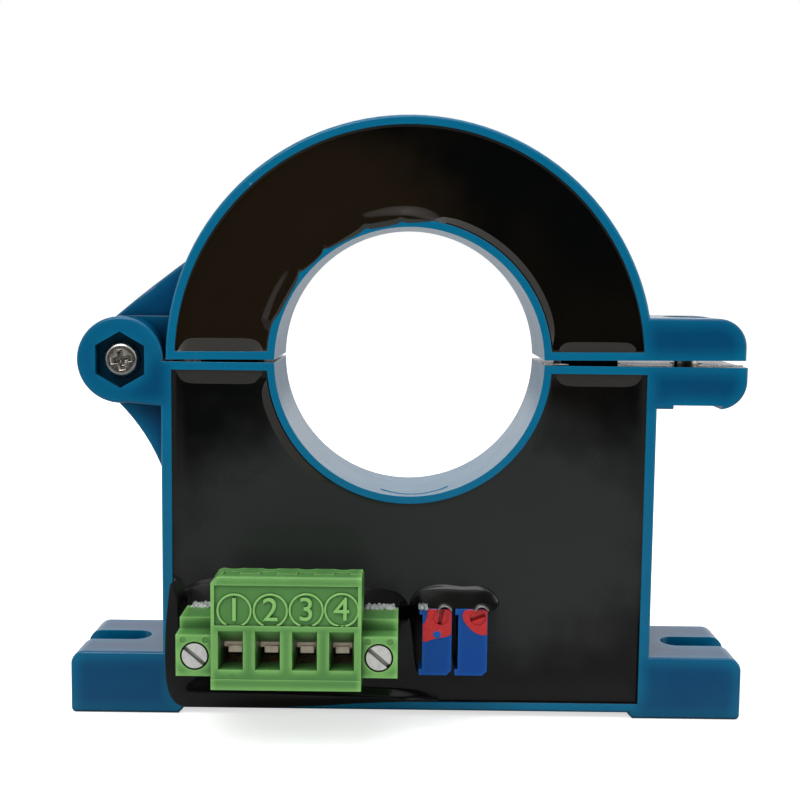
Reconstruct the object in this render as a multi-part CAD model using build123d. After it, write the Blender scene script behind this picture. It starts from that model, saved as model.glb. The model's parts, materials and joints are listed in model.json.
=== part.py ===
from build123d import *
from math import cos, radians, sin
import os

# Split-core current transducer: a hinged pair of moulded housings round a cable window.
# Units are millimetres. X runs to the right, Y to the back and Z up.
# The origin is the middle of the cable window, half way through its depth.

# Window and housings
window_radius = 20.0
body_depth = 18.0
window_wall = 1.1
side_wall = 1.6
back_wall = 1.5
split_wall = 1.2
bottom_wall = 1.4
body_half_width = 36.9
body_bottom = -53.0
arch_inset = 0.7
arch_wall = 1.4
edge_round = 0.5

# Split between the halves: the upper one leans back about the hinge
lower_split = -0.15
upper_split = 0.1
split_lean = 0.48

# Hinge on the left
hinge_reach = 6.0
hinge_z = 0.0
boss_radius = 6.45
knuckle_width = 9.0
side_play = 0.15
swing_gap = 0.2
ear_foot_drop = 7.05
ear_boss_drop = 6.1
ear_offset = 1.3
pin_diameter = 3.0
pin_play = 0.06
pin_head_diameter = 5.1
pin_head_height = 1.9
pin_head_round = 0.75
cross_length = 3.0
cross_width = 0.55
cross_depth = 0.9
pin_end_gap = 0.3
head_pocket_flats = 7.3
head_pocket_depth = 2.6
pin_nut_flats = 5.5
pin_nut_height = 2.4
pin_nut_sink = 0.4
nut_play = 0.1

# Webs that brace the hinge
upper_web_angle = 26.5
upper_web_inset = 0.2
upper_web_bulge = 0.15
upper_web_thickness = 6.6
upper_web_offset = 1.9
upper_web_rise = 6.3
upper_block_top = 6.4
web_offset = 0.9
lower_web_bottom = 17.4
lower_web_sag = 0.8
lower_web_thickness = 12.6

# Clamp flanges on the right
clamp_reach = 6.0
upper_flange_length = 13.0
lower_flange_length = 13.3
upper_flange_top = 7.05
lower_flange_bottom = -6.45
flange_corner = 4.2
clamp_diameter = 4.0
clamp_core = 3.2
clamp_play = 0.5
clamp_head_diameter = 7.0
clamp_head_height = 2.6
clamp_head_sink = 3.0
clamp_nut_flats = 7.0
clamp_nut_height = 3.2
clamp_nut_groove = 0.6
clamp_end_gap = 0.3
clamp_head_round = 0.65
clamp_key = 3.0
clamp_key_depth = 1.6
clamp_thread_start = 0.6

# Feet
foot_length = 14.0
foot_height = 9.55
foot_step = 0.9
foot_pad = 3.0
foot_inner_bevel = 0.7
foot_corner = 2.0
foot_lower_corner = 0.7
foot_slot_width = 4.8
foot_slot_gap = 3.5

# Magnetic core and its sensor
core_window_gap = 2.2
core_side_gap = 3.3
core_depth = 9.4
core_back_gap = 0.3
core_face = 0.25
core_face_gap = 0.05
core_hole_play = 0.4
sensor_gap = 1.9
sensor_thickness = 1.5
sensor_width = 4.1
sensor_height = 3.1
sensor_lead = 0.4
sensor_lead_pitch = 1.27

# Potting and the board under it
potting_sink = 0.8
board_stand = 10.3
board_thickness = 1.6
board_edge_gap = 0.6
board_height = 27.0
board_bottom_gap = 1.0
board_post_radius = 2.2
board_post_inset = 4.5
board_post_rise = 11.5
chip_width = 4.9
chip_length = 3.9
chip_height = 1.5
chip_bevel = 0.25
chip_inset = 12.7
chip_rise = 12.6

# Pluggable terminal
pitch = 5.08
poles = 4
terminal_x = -16.5
plug_depth = 10.0
plug_height = 16.0
plug_rise = 9.0
plug_end_wall = 0.15
plug_flat_depth = 4.4
plug_slope_drop = 1.8
plug_rear_gap = 0.1
plug_front_round = 0.35
panel_drop = 1.4
panel_height = 5.6
panel_sink = 0.35
panel_margin = 0.5
lower_lip = 1.5
lower_lip_proud = 0.15
plug_corner = 1.1
rebate_depth = 0.18
rebate_front = 1.3
rebate_tab = 2.2
rebate_tab_length = 1.1

# Wire entries
entry_width = 3.45
entry_height = 5.5
entry_rise = 2.8
entry_depth = 3.4
throat_width = 2.6
throat_height = 3.0

# Header and the plug's nose
header_height = 12.0
header_wall = 0.85
nose_length = 8.1
nose_play = 0.15
nose_height = 7.0
nose_side_inset = 0.25
pin_side = 1.0
pin_tip_gap = 1.2
pin_tail = 1.0
pin_tip_bevel = 0.2
pin_board_play = 0.1

# Contact, cage and screw of each pole
tongue_width = 2.7
tongue_thickness = 0.7
socket_height = 2.8
socket_width = 2.6
socket_wall = 0.5
socket_lead = 2.0
socket_end_gap = 0.4
cage_width = 4.1
cage_depth = 4.0
cage_wall = 0.55
cage_nut_height = 1.8
cage_base = 0.7
cage_headroom = 2.05
cage_travel = 1.9
cage_play = 0.15
cage_entry_drop = 0.1
screw_core = 2.5
screw_play = 0.05
screw_head_diameter = 3.2
screw_head_height = 1.4
screw_tip_gap = 0.15
driver_bore_play = 0.15
screw_seat_thickness = 0.95
slot_width = 0.6
slot_depth = 0.7
terminal_slot_turn = 30

# Flanges that screw the plug to the header
flange_face_sink = 1.0
flange_span = 30.6
flange_screw_span = 25.4
flange_low_height = 5.8
flange_high_height = 7.35
flange_rise = 1.55
flange_low_depth = 3.3
flange_screw_rise = 2.85
flange_dimple = 0.9
flange_dimple_depth = 0.12
flange_dimple_x = 1.55
flange_dimple_rise = 2.25
flange_head_diameter = 3.5
flange_head_height = 1.5
flange_head_play = 0.25
flange_screw_core = 2.0
flange_screw_reach = 5.0
insert_diameter = 4.0
insert_length = 5.0
insert_blind = 3.0
insert_play = 0.1
flange_slot_turn = -50

# Trimmers
trimmer_width = 4.3
trimmer_length = 10.0
trimmer_height = 10.0
trimmer_rise = 7.4
trimmer_x = (4.5, 9.75)
trimmer_bevel = 0.7
trimmer_foot = 0.45
trimmer_foot_height = 0.9
trimmer_screw_diameter = 2.3
trimmer_screw_length = 2.4
trimmer_screw_offset = (0.55, 0.7)
trimmer_screw_inset = 1.25
trimmer_screw_play = 0.05
trimmer_screw_sink = 0.1
trimmer_slot_turn = (10, 70)
lacquer_thickness = 0.12
lacquer_margin = 0.1
lacquer_sag = 0.5
lacquer_drop = (3.9, 3.1)

# Places worked out from the sizes above
front = -body_depth / 2
back = body_depth / 2
cavity_back = back - back_wall
cavity_half = body_half_width - side_wall
arch_radius = body_half_width - arch_inset
arch_inner_radius = arch_radius - arch_wall
hinge_x = -body_half_width - hinge_reach
clamp_x = body_half_width + clamp_reach
upper_flange_end = body_half_width + upper_flange_length
lower_flange_end = body_half_width + lower_flange_length
foot_end = body_half_width + foot_length
foot_bottom = body_bottom - foot_step
foot_top = foot_bottom + foot_height
foot_inner_end = body_half_width - foot_pad
foot_slot_end = body_half_width + foot_slot_gap
wall_radius = window_radius + window_wall
lower_roof = lower_split - split_wall
cavity_floor = body_bottom + bottom_wall
potting_front = front + potting_sink
core_inner_radius = wall_radius + core_window_gap
core_outer_radius = cavity_half - core_side_gap
core_back = cavity_back - core_back_gap
core_front = core_back - core_depth
board_back = cavity_back - board_stand
board_front = board_back - board_thickness
board_half = cavity_half - board_edge_gap
board_bottom = cavity_floor + board_bottom_gap
knuckle_half = knuckle_width / 2
ear_inner = knuckle_half + side_play
header_front = board_front - header_height
plug_rear = header_front - plug_rear_gap
plug_face = plug_rear - plug_depth
plug_bottom = body_bottom + plug_rise
plug_top = plug_bottom + plug_height
panel_top = plug_top - panel_drop
panel_bottom = panel_top - panel_height
entry_bottom = plug_bottom + entry_rise
entry_top = entry_bottom + entry_height
throat_top = entry_bottom + throat_height
plug_half = poles * pitch / 2 + plug_end_wall
nose_half = poles * pitch / 2 - nose_side_inset
nose_back = header_front + nose_length
tongue_top = throat_top - screw_play
tongue_bottom = tongue_top - tongue_thickness
pin_z = tongue_top - socket_height / 2
nose_top = pin_z + nose_height / 2
nose_bottom = pin_z - nose_height / 2
cage_y = plug_face + entry_depth + cage_depth / 2 + 2 * cage_play
cage_inside_bottom = entry_bottom - cage_entry_drop
cage_bottom = cage_inside_bottom - cage_base
cage_inside_top = tongue_top + cage_headroom
cage_top = cage_inside_top + cage_nut_height
cage_roof = cage_top + cage_travel + cage_play
screw_seat = cage_roof + screw_seat_thickness
flange_face = plug_face + flange_face_sink
flange_floor = plug_bottom + flange_rise
flange_low_top = flange_floor + flange_low_height
flange_high_top = flange_floor + flange_high_height
flange_screw_z = flange_floor + flange_screw_rise
pole_places = [terminal_x + (i - (poles - 1) / 2) * pitch for i in range(poles)]
flange_places = [terminal_x - flange_screw_span / 2, terminal_x + flange_screw_span / 2]
trimmer_face = board_front - trimmer_height
trimmer_bottom = body_bottom + trimmer_rise
trimmer_top = trimmer_bottom + trimmer_length
trimmer_screw_z = trimmer_top - trimmer_screw_inset


def block(x0, x1, y0, y1, z0, z1):
    """A box between two corners."""
    size = Box(x1 - x0, y1 - y0, z1 - z0)
    return Pos((x0 + x1) / 2, (y0 + y1) / 2, (z0 + z1) / 2) * size


def rod_y(x, z, radius, y0, y1):
    """A round bar along Y."""
    bar = Cylinder(radius, y1 - y0)
    return Pos(x, (y0 + y1) / 2, z) * Rot(90, 0, 0) * bar


def rod_z(x, y, radius, z0, z1):
    """A round bar along Z."""
    return Pos(x, y, (z0 + z1) / 2) * Cylinder(radius, z1 - z0)


def from_front(outline, y0, y1):
    """A flat outline seen from the front, with X to the right and Z up, made solid from y0 to y1."""
    return extrude(Plane.XZ.offset(-y1) * outline, amount=y1 - y0)


def from_side(points, x0, x1):
    """A polygon of (y, z) points made solid from x0 to x1."""
    face = make_face(Polyline(*points, close=True))
    return extrude(Plane.YZ.offset(x0) * face, amount=x1 - x0)


def hexagon(flats):
    """A hexagon with corners up and down."""
    return Rot(0, 0, 90) * RegularPolygon(flats / 2, 6, major_radius=False)


def hex_y(x, z, flats, y0, y1):
    """A hexagonal bar along Y."""
    return from_front(Pos(x, z) * hexagon(flats), y0, y1)


def hex_z(x, y, flats, z0, z1):
    """A hexagonal bar along Z."""
    return Pos(x, y, z0) * extrude(hexagon(flats), amount=z1 - z0)


def area(x0, x1, z0, z1):
    """A rectangle in the front view."""
    return Pos((x0 + x1) / 2, (z0 + z1) / 2) * Rectangle(x1 - x0, z1 - z0)


def round_outline(solid, radius):
    """Round the outer edges of an outline at its front and back."""
    ends = solid.faces().sort_by(Axis.Y)
    return fillet(ends[0].edges() + ends[-1].edges(), radius)


def foot_outline():
    """The left foot seen from the front, with a rounded shoulder and a pad under the body."""
    shape = area(-foot_end, -foot_inner_end, foot_bottom, foot_top)
    corners = shape.vertices().sort_by(Axis.X)[:2].sort_by(Axis.Y)
    shape = fillet(corners[-1:], foot_corner)
    shape = fillet(shape.vertices().sort_by(Axis.X)[:1], foot_lower_corner)
    heel = shape.vertices().sort_by(Axis.X)[-2:].sort_by(Axis.Y)
    return chamfer(heel[:1], foot_inner_bevel)


def flange_outline(start, end, z0, z1, corner_z):
    """A clamp flange seen from the front, rounded at its outer corner."""
    shape = area(start, end, z0, z1)
    corners = shape.vertices().sort_by(Axis.X)[-2:].sort_by(Axis.Y)
    chosen = corners[-1:] if corner_z > 0 else corners[:1]
    return fillet(chosen, flange_corner)


def lower_ear_outline():
    """The hinge ear seen from the front: a round boss on an arm that grows from the body."""
    arm = make_face(Polyline(
        (hinge_x - ear_offset, hinge_z - ear_boss_drop),
        (-cavity_half, hinge_z - ear_foot_drop),
        (-cavity_half, lower_split),
        (hinge_x, lower_split),
        close=True))
    return Pos(hinge_x, hinge_z) * Circle(boss_radius) + arm


def lower_web():
    """The curved web below the hinge, set back from the ears' faces."""
    start = (hinge_x - ear_offset, hinge_z - ear_boss_drop)
    end = (-body_half_width, hinge_z - lower_web_bottom)
    edges = [
        SagittaArc(start, end, lower_web_sag),
        Polyline(end, (-cavity_half, end[1]), (-cavity_half, lower_split), (hinge_x, lower_split), start),
    ]
    return from_front(make_face(edges), -lower_web_thickness / 2, lower_web_thickness / 2)


def upper_brace():
    """The knuckle's block and the thinner curved web that runs from it up the arch."""
    inner = -arch_inner_radius
    start = (hinge_x - upper_web_offset, hinge_z + upper_web_rise)
    rim = arch_radius - upper_web_inset
    end = (-rim * cos(radians(upper_web_angle)), rim * sin(radians(upper_web_angle)))
    edges = [
        SagittaArc(start, end, upper_web_bulge),
        Polyline(end, (inner, upper_split), (hinge_x, upper_split), start),
    ]
    web = from_front(make_face(edges), -upper_web_thickness / 2, upper_web_thickness / 2)
    web = fillet(web.edges().filter_by(GeomType.CIRCLE), edge_round)
    return web + block(hinge_x, inner, -knuckle_half, knuckle_half, upper_split, hinge_z + upper_block_top)


def core_section(y0, y1):
    """The full ring that both core halves are cut from."""
    ring = Circle(core_outer_radius) - Circle(core_inner_radius)
    return from_front(ring, y0, y1)


def core_holes(z0, z1):
    """Windows in the split walls for the core's legs."""
    holes = []
    for side in (-1, 1):
        near = side * (core_inner_radius - core_hole_play)
        far = side * (core_outer_radius + core_hole_play)
        holes.append(block(min(near, far), max(near, far),
                           core_front - core_hole_play, cavity_back, z0, z1))
    return holes[0] + holes[1]


def foot_slot(side):
    """A fixing slot, open at the foot's outer end and round at its inner end."""
    radius = foot_slot_width / 2
    hole = rod_z(side * (foot_slot_end + radius), 0, radius, foot_bottom - 1, foot_top + 1)
    x0, x1 = sorted((side * (foot_slot_end + radius), side * (foot_end + 1)))
    return hole + block(x0, x1, -radius, radius, foot_bottom - 1, foot_top + 1)


def board_post_places():
    """Where the board stands on posts moulded into the lower housing."""
    x = cavity_half - board_post_inset
    low = cavity_floor + board_post_inset
    return [(-x, low), (x, low), (-x, low + board_post_rise), (x, low + board_post_rise)]


def lower_cavity(y0, y1):
    """The room in the lower housing, below the split wall and outside the window's wall."""
    room = block(-cavity_half, cavity_half, y0, y1, cavity_floor, lower_roof)
    return room - rod_y(0, 0, wall_radius, y0 - 1, y1 + 1)


def lower_housing():
    outline = area(-body_half_width, body_half_width, body_bottom, lower_split)
    outline += foot_outline() + mirror(foot_outline(), about=Plane.YZ)
    root = body_half_width - side_wall / 2
    outline += flange_outline(root, lower_flange_end, lower_flange_bottom, lower_split, -1)
    outline += lower_ear_outline()
    solid = from_front(outline, front, back)
    ends = solid.edges().filter_by(lambda e: abs(abs(e.center().Y) - back) < 0.01)
    split_edge = body_half_width - 1
    rounded = ends.filter_by(lambda e: not (e.center().Z > lower_split - 0.01 and e.length > split_edge))
    solid = fillet(rounded, edge_round)
    solid += lower_web()
    solid -= rod_y(0, 0, window_radius, front - 1, back + 1)
    solid -= lower_cavity(front - 1, cavity_back)
    solid -= core_holes(lower_roof - 1, lower_split + 1)
    solid -= rod_y(hinge_x, hinge_z, boss_radius + swing_gap, -ear_inner, ear_inner)
    solid -= block(hinge_x - boss_radius - 1, hinge_x, -ear_inner, ear_inner, hinge_z, boss_radius + 1)
    solid -= rod_y(hinge_x, hinge_z, pin_diameter / 2 + pin_play, front - 1, back + 1)
    solid -= hex_y(hinge_x, hinge_z, head_pocket_flats, front - 1, front + head_pocket_depth)
    nut_seat = back - pin_nut_height - pin_nut_sink
    solid -= hex_y(hinge_x, hinge_z, pin_nut_flats + 2 * nut_play, nut_seat, back + 1)
    for side in (-1, 1):
        solid -= foot_slot(side)
    groove_half = clamp_nut_flats / 2 + nut_play
    groove_top = lower_flange_bottom + clamp_nut_groove
    solid -= block(clamp_x - groove_half, clamp_x + groove_half, front - 1, back + 1,
                   lower_flange_bottom - 1, groove_top)
    solid -= hex_z(clamp_x, 0, clamp_nut_flats + 2 * nut_play,
                   lower_flange_bottom - 1, groove_top + clamp_nut_height)
    solid -= rod_z(clamp_x, 0, clamp_diameter / 2 + clamp_play, lower_flange_bottom - 1, lower_split + 1)
    for x, z in board_post_places():
        solid += rod_y(x, z, board_post_radius, board_back, cavity_back + 0.1)
    return solid


def above_split(solid):
    """Keep what lies above the upper half's leaning split face."""
    reach = 8 * body_half_width
    below = Box(reach, 2 * body_depth, reach, align=(Align.CENTER, Align.CENTER, Align.MAX))
    return solid - Pos(hinge_x, 0, upper_split) * Rot(0, -split_lean, 0) * below


def upper_cavity(y0, y1):
    """The curved room in the upper housing, above its leaning split wall."""
    room = rod_y(0, 0, arch_inner_radius, y0, y1)
    room -= rod_y(0, 0, wall_radius, y0 - 1, y1 + 1)
    return Pos(0, 0, split_wall) * above_split(Pos(0, 0, -split_wall) * room)


def upper_housing():
    arch = Circle(arch_radius) - area(-arch_radius, arch_radius, -arch_radius, -2)
    outline = arch + flange_outline(arch_inner_radius, upper_flange_end, -2, upper_flange_top, 1)
    solid = round_outline(from_front(outline, front, back), edge_round)
    solid += upper_brace()
    for y0, y1 in ((front - 1, -knuckle_half), (knuckle_half, back + 1)):
        solid -= rod_y(hinge_x, hinge_z, boss_radius + swing_gap, y0, y1)
    knuckle = rod_y(hinge_x, hinge_z, boss_radius - swing_gap / 2, -knuckle_half, knuckle_half)
    solid = above_split(solid) + knuckle
    solid -= upper_cavity(front - 1, cavity_back)
    solid -= rod_y(0, 0, window_radius, front - 1, back + 1)
    solid -= core_holes(-1, upper_split + split_wall + 2)
    solid -= rod_y(hinge_x, hinge_z, pin_diameter / 2 + pin_play, -knuckle_half - 1, knuckle_half + 1)
    solid -= rod_z(clamp_x, 0, clamp_diameter / 2 + clamp_play / 2, -1, upper_flange_top + 1)
    solid -= rod_z(clamp_x, 0, clamp_head_diameter / 2 + clamp_play / 2,
                   upper_flange_top - clamp_head_sink, upper_flange_top + 1)
    return solid


def upper_core():
    ring = core_section(core_front, core_back)
    reach = 2 * core_outer_radius
    return ring - block(-reach, reach, core_front - 1, core_back + 1, -reach, core_face + core_face_gap)


def lower_core(side):
    """One lower quarter of the core, short of the middle by half the sensor's gap."""
    ring = core_section(core_front, core_back)
    reach = 2 * core_outer_radius
    ring -= block(-reach, reach, core_front - 1, core_back + 1, core_face, reach)
    x0, x1 = sorted((side * sensor_gap / 2, -side * reach))
    return ring - block(x0, x1, core_front - 1, core_back + 1, -reach, reach)


def field_sensor():
    """The sensor in the core's gap, with three leads that bend into the board."""
    z = -(core_inner_radius + core_outer_radius) / 2
    y = (core_front + core_back) / 2
    body = block(-sensor_thickness / 2, sensor_thickness / 2, y - sensor_height / 2, y + sensor_height / 2,
                 z - sensor_width / 2, z + sensor_width / 2)
    for i in (-1, 0, 1):
        lead_z = z + i * sensor_lead_pitch
        half = sensor_lead / 2
        body += block(-half, half, board_back, y - sensor_height / 2 + half, lead_z - half, lead_z + half)
    return body


def circuit_board():
    top = board_bottom + board_height
    board = block(-board_half, board_half, board_front, board_back, board_bottom, top)
    for x in pole_places:
        side = pin_side / 2 + pin_board_play
        board -= block(x - side, x + side, board_front - 1, board_back + 1, pin_z - side, pin_z + side)
    return board


def amplifier_chip():
    x = board_half - chip_inset
    z = board_bottom + chip_rise
    body = block(x - chip_width / 2, x + chip_width / 2, board_front - chip_height, board_front,
                 z - chip_length / 2, z + chip_length / 2)
    front_face = body.faces().sort_by(Axis.Y)[0]
    return chamfer(front_face.edges(), chip_bevel)


def lower_potting(embedded):
    """Resin in the lower housing, cast round everything that stands in it."""
    solid = lower_cavity(potting_front, cavity_back)
    for piece in embedded:
        solid -= piece
    for x, z in board_post_places():
        solid -= rod_y(x, z, board_post_radius, board_back, cavity_back)
    return solid


def upper_potting(core):
    return upper_cavity(potting_front, cavity_back) - core


def hinge_screw():
    seat = front + head_pocket_depth
    shank = rod_y(hinge_x, hinge_z, pin_diameter / 2, seat - 0.1, back - pin_end_gap)
    head = rod_y(hinge_x, hinge_z, pin_head_diameter / 2, seat - pin_head_height, seat)
    rim = head.edges().filter_by(GeomType.CIRCLE).sort_by(Axis.Y)[:1]
    head = fillet(rim, pin_head_round)
    arm = cross_length / 2
    half = cross_width / 2
    top = seat - pin_head_height
    cross = block(-arm, arm, top - 1, top + cross_depth, -half, half)
    cross += block(-half, half, top - 1, top + cross_depth, -arm, arm)
    return head + shank - Pos(hinge_x, 0, hinge_z) * cross


def hinge_nut():
    y1 = back - pin_nut_sink
    nut = hex_y(hinge_x, hinge_z, pin_nut_flats, y1 - pin_nut_height, y1)
    return nut - rod_y(hinge_x, hinge_z, pin_diameter / 2 + pin_play / 2, front, back + 1)


def clamp_screw():
    seat = upper_flange_top - clamp_head_sink
    end = lower_flange_bottom + clamp_end_gap
    head = rod_z(clamp_x, 0, clamp_head_diameter / 2, seat, seat + clamp_head_height)
    head = fillet(head.edges().filter_by(GeomType.CIRCLE).sort_by(Axis.Z)[-1:], clamp_head_round)
    top = seat + clamp_head_height
    head -= hex_z(clamp_x, 0, clamp_key, top - clamp_key_depth, top + 1)
    shank = rod_z(clamp_x, 0, clamp_diameter / 2, lower_split - clamp_thread_start, seat + 0.1)
    return head + shank + rod_z(clamp_x, 0, clamp_core / 2, end, lower_split)


def clamp_nut():
    z1 = lower_flange_bottom + clamp_nut_groove + clamp_nut_height
    nut = hex_z(clamp_x, 0, clamp_nut_flats, z1 - clamp_nut_height, z1)
    return nut - rod_z(clamp_x, 0, clamp_diameter / 2, z1 - clamp_nut_height - 1, z1 + 1)


def header_pin(x):
    half = pin_side / 2
    tip = header_front + pin_tip_gap
    pin = block(x - half, x + half, tip, board_back + pin_tail, pin_z - half, pin_z + half)
    return chamfer(pin.faces().sort_by(Axis.Y)[0].edges(), pin_tip_bevel)


def header_room():
    """The room in the header for the plug's nose."""
    return block(terminal_x - nose_half - nose_play, terminal_x + nose_half + nose_play,
                 header_front - 1, nose_back + nose_play, nose_bottom - nose_play, nose_top + nose_play)


def header_outside():
    """The header before its holes: a shroud round the nose and two flange blocks."""
    half = nose_half + nose_play + header_wall
    top = nose_top + nose_play + header_wall
    bottom = nose_bottom - nose_play - header_wall
    shroud = block(terminal_x - half, terminal_x + half, header_front, board_front, bottom, top)
    x0, x1 = terminal_x - flange_span / 2, terminal_x + flange_span / 2
    return shroud + block(x0, x1, header_front, board_front, flange_floor, flange_high_top)


def terminal_header():
    """The board's half of the connector, with its pins' holes and a sleeve's seat in each flange."""
    solid = header_outside() - header_room()
    for x in flange_places:
        solid -= rod_y(x, flange_screw_z, insert_diameter / 2,
                       header_front - 1, header_front + insert_length)
        solid -= rod_y(x, flange_screw_z, flange_screw_core / 2 + insert_play,
                       header_front, header_front + flange_screw_reach + insert_blind)
    for x in pole_places:
        half = pin_side / 2
        solid -= block(x - half, x + half, header_front, board_front + 1, pin_z - half, pin_z + half)
    return solid


def flange_insert(x):
    """A threaded brass sleeve in the header's flange."""
    sleeve = rod_y(x, flange_screw_z, insert_diameter / 2, header_front, header_front + insert_length)
    bore = rod_y(x, flange_screw_z, flange_screw_core / 2 + insert_play,
                 header_front - 1, header_front + insert_length + 1)
    return sleeve - bore


def plug_contact(x):
    """A tongue in the clamp cage that widens into a socket round the header's pin."""
    y0 = plug_face + entry_depth + cage_play
    socket_front = header_front + pin_tip_gap - socket_lead
    tongue = block(x - tongue_width / 2, x + tongue_width / 2, y0, socket_front + 1,
                   tongue_bottom, tongue_top)
    half = socket_width / 2
    socket = block(x - half, x + half, socket_front, nose_back - socket_end_gap,
                   tongue_top - socket_height, tongue_top)
    room = half - socket_wall
    slot = socket_height / 2 - socket_wall
    socket -= block(x - room, x + room, socket_front + 1, nose_back, pin_z - slot, pin_z + slot)
    return tongue + socket


def wire_entry(x):
    """A funnel from the plug's face down to the throat in front of the clamp cage."""
    mouth = Pos(x, (entry_top + entry_bottom) / 2) * Rectangle(entry_width, entry_top - entry_bottom)
    throat = Pos(x, (throat_top + entry_bottom) / 2) * Rectangle(throat_width, throat_top - entry_bottom)
    funnel = loft([Plane.XZ.offset(-plug_face) * mouth, Plane.XZ.offset(-plug_face - entry_depth) * throat])
    extra = block(x - throat_width / 2, x + throat_width / 2, plug_face + entry_depth - 0.1, cage_y,
                  entry_bottom, throat_top)
    opening = block(x - entry_width / 2, x + entry_width / 2, plug_face - 1, plug_face,
                    entry_bottom, entry_top)
    return funnel + extra + opening


def pole_room(x):
    """The room in the plug for one pole's cage, contact and screw."""
    half = cage_width / 2 + cage_play
    y0 = cage_y - cage_depth / 2 - cage_play
    y1 = cage_y + cage_depth / 2 + cage_play
    room = block(x - half, x + half, y0, y1, cage_bottom - cage_play, cage_roof)
    room += rod_z(x, cage_y, screw_core / 2 + screw_play, cage_roof - 1, screw_seat + 1)
    room += rod_z(x, cage_y, screw_head_diameter / 2 + driver_bore_play, screw_seat, plug_top + 1)
    side = socket_width / 2 + screw_play
    room += block(x - side, x + side, y1 - 1, nose_back + 1,
                  tongue_top - socket_height - screw_play, tongue_top + screw_play)
    side = tongue_width / 2 + screw_play
    room += block(x - side, x + side, plug_face + entry_depth, plug_rear,
                  tongue_bottom - screw_play, tongue_top + screw_play)
    return room


def plug_flange(side):
    """A screw flange: a low front block with a taller step behind it."""
    x0, x1 = sorted((terminal_x + side * (plug_half - 0.5), terminal_x + side * flange_span / 2))
    return from_side([
        (flange_face, flange_floor),
        (plug_rear, flange_floor),
        (plug_rear, flange_high_top),
        (flange_face + flange_low_depth, flange_high_top),
        (flange_face + flange_low_depth, flange_low_top),
        (flange_face, flange_low_top),
    ], x0, x1)


def plug_rebate():
    """A shallow step behind the plug's top front edge, deeper at each pole."""
    floor = plug_top - rebate_depth
    reach = plug_half + 1
    back_edge = plug_face + rebate_front
    step = block(terminal_x - reach, terminal_x + reach, plug_face - 1, back_edge, floor, plug_top + 1)
    for x in pole_places:
        step += block(x - rebate_tab / 2, x + rebate_tab / 2, plug_face, back_edge + rebate_tab_length,
                      floor, plug_top + 1)
    return step


def plug_housing():
    body = from_side([
        (plug_face, plug_bottom),
        (plug_rear, plug_bottom),
        (plug_rear, plug_top - plug_slope_drop),
        (plug_face + plug_flat_depth, plug_top),
        (plug_face, plug_top),
    ], terminal_x - plug_half, terminal_x + plug_half)
    left_top = body.edges().filter_by(Axis.Y).sort_by(Axis.Z)[-2:].sort_by(Axis.X)[:1]
    body = chamfer(left_top, plug_corner)
    body -= plug_rebate()
    front_top = body.faces().sort_by(Axis.Y)[0].edges().filter_by(Axis.X).sort_by(Axis.Z)[-1:]
    body = fillet(front_top, plug_front_round)
    body += block(terminal_x - plug_half, terminal_x + plug_half, plug_face - lower_lip_proud, plug_face + 1,
                  plug_bottom, plug_bottom + lower_lip)
    body += block(terminal_x - nose_half, terminal_x + nose_half, plug_rear - 1, nose_back,
                  nose_bottom, nose_top)
    for side in (-1, 1):
        body += plug_flange(side)
    body -= block(terminal_x - plug_half + panel_margin, terminal_x + plug_half - panel_margin,
                  plug_face - 1, plug_face + panel_sink, panel_bottom, panel_top)
    for x in pole_places:
        body -= wire_entry(x)
        body -= pole_room(x)
    for x in flange_places:
        body -= rod_y(x, flange_screw_z, flange_screw_core / 2 + insert_play, flange_face - 1, plug_rear + 1)
        body -= rod_y(x, flange_screw_z, flange_head_diameter / 2 + flange_head_play,
                      flange_face - 1, flange_face + flange_head_height + 0.1)
        for side in (-1, 1):
            body -= rod_y(x + side * flange_dimple_x, flange_screw_z + flange_dimple_rise, flange_dimple / 2,
                          flange_face - 1, flange_face + flange_dimple_depth)
    return body


def flange_screw(x):
    head = rod_y(x, flange_screw_z, flange_head_diameter / 2, flange_face, flange_face + flange_head_height)
    shank = rod_y(x, flange_screw_z, flange_screw_core / 2, flange_face + flange_head_height - 0.1,
                  header_front + flange_screw_reach)
    slot = block(-slot_width / 2, slot_width / 2, flange_face - 1, flange_face + slot_depth,
                 -flange_head_diameter, flange_head_diameter)
    return head + shank - Pos(x, 0, flange_screw_z) * Rot(0, flange_slot_turn, 0) * slot


def clamp_cage(x):
    """The metal frame that the screw lifts to grip the wire against the tongue."""
    half = cage_width / 2
    y0 = cage_y - cage_depth / 2
    y1 = cage_y + cage_depth / 2
    cage = block(x - half, x + half, y0, y1, cage_bottom, cage_top)
    inside = half - cage_wall
    cage -= block(x - inside, x + inside, y0 - 1, y1 + 1, cage_inside_bottom, cage_inside_top)
    return cage - rod_z(x, cage_y, screw_core / 2 + screw_play, cage_inside_top - 1, cage_top + 1)


def terminal_screw(x):
    head = rod_z(x, cage_y, screw_head_diameter / 2, screw_seat, screw_seat + screw_head_height)
    shank = rod_z(x, cage_y, screw_core / 2, tongue_top + screw_tip_gap, screw_seat + 0.1)
    reach = screw_head_diameter
    slot = block(-reach, reach, -slot_width / 2, slot_width / 2, 0, slot_depth + 1)
    slot_floor = screw_seat + screw_head_height - slot_depth
    return head + shank - Pos(x, cage_y, slot_floor) * Rot(0, 0, terminal_slot_turn) * slot


def trimmer_screw_x(x):
    """The adjusting screw sits a little to the right of its trimmer's middle."""
    return x + trimmer_screw_offset[trimmer_x.index(x)]


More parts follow.
